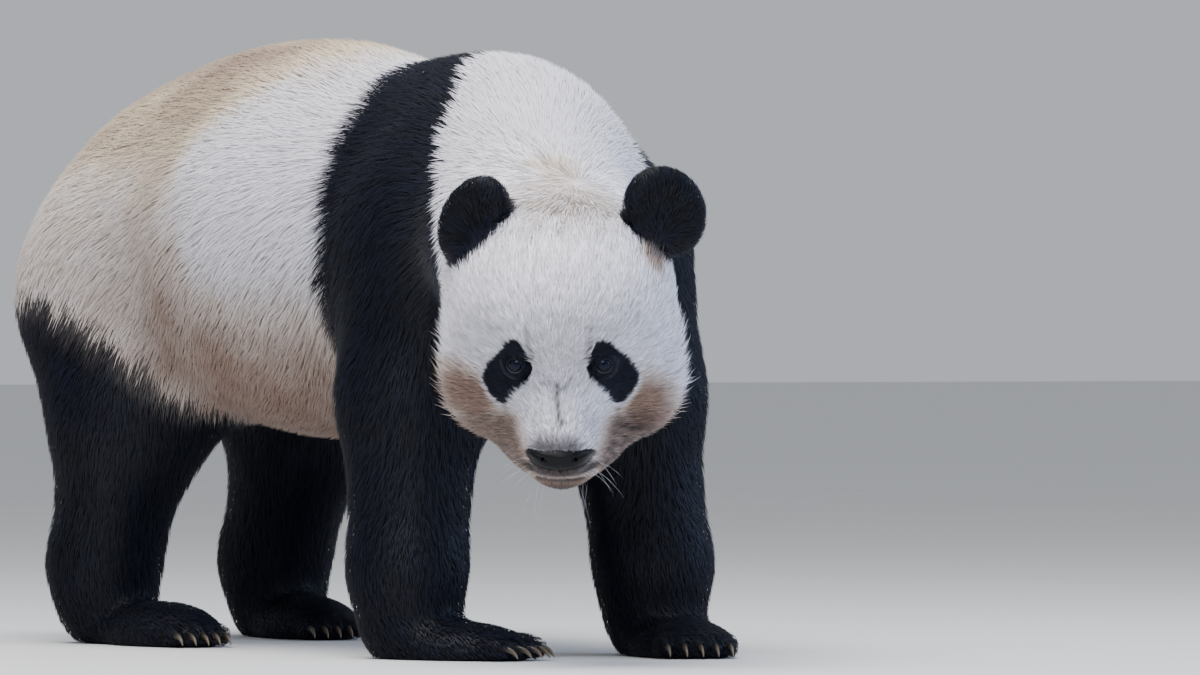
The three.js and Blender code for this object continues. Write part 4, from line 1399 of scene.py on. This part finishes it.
def skin_material(hair):
    """Skin under the coat: the coat's own markings, and bare grey leather on the lids, lips and soles, with
    painted shade in the nostrils, under the nose leather and deep in the mouth, and a painted reflection on
    the lids' lower rim.
    """
    made, sockets, n = material("skin", {"Specular IOR Level": 0.22})
    marks = {key.title(): n.attribute(key) for key in ("black", "stain_and_shade", "shade_and_smudge")}
    out = n.group(hair, Tone=-0.4, Along=0.6, **marks)
    place = n.place()
    grain = n.cells(place, 900.0)
    folds = n.noise(place, 160.0, 4.0)
    lid = n.attribute("lid")
    lips = n.attribute("lips")
    leather = n.mix(n.range(folds, 0.3, 0.7), rgb(112, 84, 82), rgb(142, 112, 108))
    colour = n.mix(n.range(lips, 0.0, 0.35), out["Color"], leather)
    # darkest deep in the mouth's line: dark lip skin, with painted shade in the groove
    colour = n.mix(n.range(lips, 0.45, 0.80), colour, rgb(26, 18, 20))
    colour = n.mix(n.attribute("sole"), colour, rgb(28, 26, 28))
    # painted shade in the nostrils and under the nose leather's edge
    colour = n.mix(n.attribute("deep"), colour, rgb(9, 7, 9))
    colour = n.mix(n.times(lid, 0.9), colour, rgb(15, 15, 20))
    # paler bluish lower rim of the lids: a painted reflection on the wet rim
    colour = n.mix(n.times(n.attribute("rim"), 0.85), colour, rgb(66, 67, 80))
    n.put(sockets["Base Color"], colour)
    n.put(sockets["Roughness"], n.less(0.72, n.times(lid, 0.30)))
    n.put(sockets["Normal"], n.bump(n.plus(n.times(grain, 0.6), folds), 0.0006, 0.5))
    return made


def eye_material():
    """Dark blue-grey iris, its blue partly a painted reflection of the sky, with fine rays, an upright oval
    pupil, a dusky white beyond it, under clear wet gloss."""
    gloss = {"Specular IOR Level": 0.0, "Coat Weight": 0.64, "Coat Roughness": 0.03, "Coat IOR": 1.33}
    made, sockets, n = material("eye", gloss)
    x, y, z = (n.attribute("iris_" + k) for k in "xyz")
    ring = n.reach(x, y)
    turn = n.math("ARCTAN2", y, x)
    rays = n.math("SINE", n.plus(n.times(turn, 37.0), n.times(ring, 1.5)))
    fibre = n.times(n.noise(n.place(), 900.0, 3.0), n.plus(1.0, n.times(rays, 0.25)))
    # dark iris, its blue partly a painted reflection of the sky
    iris = n.mix(n.range(fibre, 0.30, 0.70), rgb(6, 8, 22), rgb(16, 21, 50))
    iris = n.mix(n.range(ring, 5.6, 7.4), iris, rgb(7, 6, 9))
    hole = n.reach(x, n.times(y, 0.62))
    iris = n.mix(n.range(hole, 1.5, 2.1), rgb(4, 4, 5), iris)
    veins = n.noise(n.place(), 420.0, 4.0)
    white = n.mix(n.range(veins, 0.45, 0.7), rgb(34, 32, 38), rgb(22, 19, 23))
    beyond = n.math("MAXIMUM", n.range(ring, 7.2, 8.2), n.range(z, 4.0, 0.0))
    n.put(sockets["Base Color"], n.mix(beyond, iris, white))
    n.put(sockets["Roughness"], n.plus(0.16, n.times(veins, 0.10)))
    return made


def nose_material():
    """Black leather of small raised cells, a little paler and drier where it is worn, with painted shade
    darkest in the nostrils."""
    gloss = {"Specular IOR Level": 0.15, "Coat Weight": 0.04, "Coat Roughness": 0.22}
    made, sockets, n = material("nose leather", gloss)
    place = n.place()
    cells = n.cells(place, 620.0)
    worn = n.noise(place, 60.0, 4.0)
    colour = n.mix(n.range(worn, 0.35, 0.70), rgb(6, 6, 10), rgb(14, 14, 21))
    colour = n.mix(n.times(n.range(cells, 0.18, 0.52), 0.6), colour, rgb(7, 7, 9))
    # painted shade deep in the nostrils
    colour = n.mix(n.attribute("deep"), colour, rgb(2, 2, 3))
    n.put(sockets["Base Color"], colour)
    n.put(sockets["Roughness"], n.range(worn, 0.30, 0.75, 0.34, 0.52))
    n.put(sockets["Normal"], n.bump(n.less(1.0, cells), 0.0005, 0.30))
    return made


def claw_material():
    """Horn, dark at the root and paler brown to grey at the tip, with fine streaks."""
    made, sockets, n = material("claw horn", {})
    grain = n.noise(n.place(), 520.0, 4.0)
    colour = n.mix(n.range(n.attribute("along"), 0.25, 1.0), rgb(40, 35, 32), rgb(112, 99, 82))
    colour = n.mix(n.times(n.range(grain, 0.4, 0.7), 0.5), colour, rgb(70, 60, 52))
    n.put(sockets["Base Color"], colour)
    n.put(sockets["Roughness"], n.range(grain, 0.3, 0.7, 0.28, 0.5))
    n.put(sockets["Normal"], n.bump(grain, 0.0003, 0.4))
    return made


def floor_material():
    """A pale matt studio floor with a faint unevenness."""
    made, sockets, n = material("floor", {"Roughness": 0.85})
    tone = n.noise(n.place(), 2.2, 4.0)
    n.put(sockets["Base Color"], n.mix(tone, (0.67, 0.67, 0.67, 1), (0.73, 0.73, 0.73, 1)))
    return made


HAIR = coat_group()
MATERIALS = {
    "white coat": coat_material("white coat", HAIR, 0.0, 0.10),
    "black coat": coat_material("black coat", HAIR, 1.0, 0.02),
    "skin": skin_material(HAIR),
    "eye": eye_material(),
    "nose leather": nose_material(),
    "claw horn": claw_material(),
    "floor": floor_material(),
}


# ---------------------------------------------------------------- the panda


def skin_marks(p):
    """The skin's attributes, each from 0 to 1: the coat's markings, and masks for the lids, their lower rim
    with its painted reflection, the lips, painted shade in the hollow of the nose and under its leather, and
    the soles."""
    q = into_head(p)
    s = mirrored(q)
    lid = lid_distance(q)
    black, stain_and_shade = markings(p, in_chunks(masses, p))
    # painted shade on the skin under the nose leather
    under_pad = within(nose_leather(q), 0.0015, 0.0050) * (on_face(q)[1] < leather_top(q[:, 0]))
    return {
        "black": black,
        "stain_and_shade": stain_and_shade,
        "shade_and_smudge": shade_and_smudges(q),
        "lid": within(np.abs(lid + 0.0003), 0.0006, 0.0034),
        # painted reflection on the wet lower rim
        "rim": within(np.abs(lid - 0.0004), 0.0002, 0.0010) * smooth(-in_eye(q)[:, 1], 0.0, 0.005),
        "lips": within(rods(s, MOUTH), 0.0002, 0.0050),
        # painted shade in the nostrils and under the nose leather
        "deep": np.maximum(within(rods(s, NOSTRILS), 0.0010, 0.0030), under_pad),
        "sole": within(p[:, 2], 0.001, 0.008),
    }


skin_points, skin_triangles = make_skin()
skin = add_mesh("skin", "skin", skin_points, skin_triangles, skin_marks(skin_points))
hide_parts("trunk", "neck", "head", "tail", "ear_left", "ear_right")
for limb in ("foreleg", "forepaw", "hindleg", "hindpaw"):
    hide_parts(limb + "_left", limb + "_right")

make_eye("eyeball_right", -1)
make_eye("eyeball_left", 1)
make_nose()
for limb in LEGS:
    make_claws(*limb)

COVERAGE = 1.9
make_coat(skin_points, skin_triangles, COVERAGE)


# ---------------------------------------------------------------- studio


def placed(name, data):
    """An object that holds the data, linked into the scene."""
    obj = bpy.data.objects.new(name, data)
    bpy.context.scene.collection.objects.link(obj)
    return obj


def aimed(name, data, at, way):
    """A light or camera at a place, pointing along a way."""
    obj = placed(name, data)
    obj.matrix_world = Matrix.Translation(at) @ Vector(way).to_track_quat("-Z", "Y").to_matrix().to_4x4()
    return obj


def area_light(name, at, target, size, power, colour):
    """A soft square light that points at a target."""
    data = bpy.data.lights.new(name, "AREA")
    data.size = size
    data.energy = power
    data.color = colour
    aimed(name, data, at, Vector(target) - Vector(at))


def make_studio():
    """Pale floor, pale sky light, a large light from above, and two weaker cool ones: by the face and from
    the other side."""
    size = 60.0
    mesh = bpy.data.meshes.new("floor")
    corners = [(-size, -size, 0), (size, -size, 0), (size, size, 0), (-size, size, 0)]
    mesh.from_pydata(corners, [], [(0, 1, 2, 3)])
    mesh.materials.append(MATERIALS["floor"])
    floor = placed("floor", mesh)
    world = bpy.data.worlds.new("studio")
    bpy.context.scene.world = world
    world.use_nodes = True
    background = world.node_tree.nodes["Background"]
    background.inputs["Color"].default_value = (0.90, 0.94, 1.0, 1)
    background.inputs["Strength"].default_value = 0.56
    area_light("top light", (-1.2, -0.6, 4.2), (0, 0.2, 0.3), 3.2, 290, (1.0, 0.99, 0.97))
    area_light("face light", (-2.4, -3.6, 2.2), (-0.15, -0.3, 0.45), 1.6, 66, (0.82, 0.87, 1.0))
    area_light("side light", (2.8, -2.5, 1.6), (-0.1, -0.2, 0.4), 2.0, 74, (0.52, 0.68, 1.0))


def make_camera():
    """A long lens, level with the face, off the panda's right shoulder."""
    turn = math.radians(-34)
    aside, distance, height = 0.055, 12.0, 0.39
    right = np.array((math.cos(turn), math.sin(turn), 0))
    ahead = np.array((-math.sin(turn), math.cos(turn), 0))
    at = aside * right - distance * ahead + np.array((0, 0, height)) + SHIFT
    data = bpy.data.cameras.new("camera")
    data.sensor_width = 36
    data.lens = 295.2
    data.clip_start = 0.5
    data.clip_end = 200
    bpy.context.scene.camera = aimed("camera", data, at, ahead)


make_studio()
make_camera()
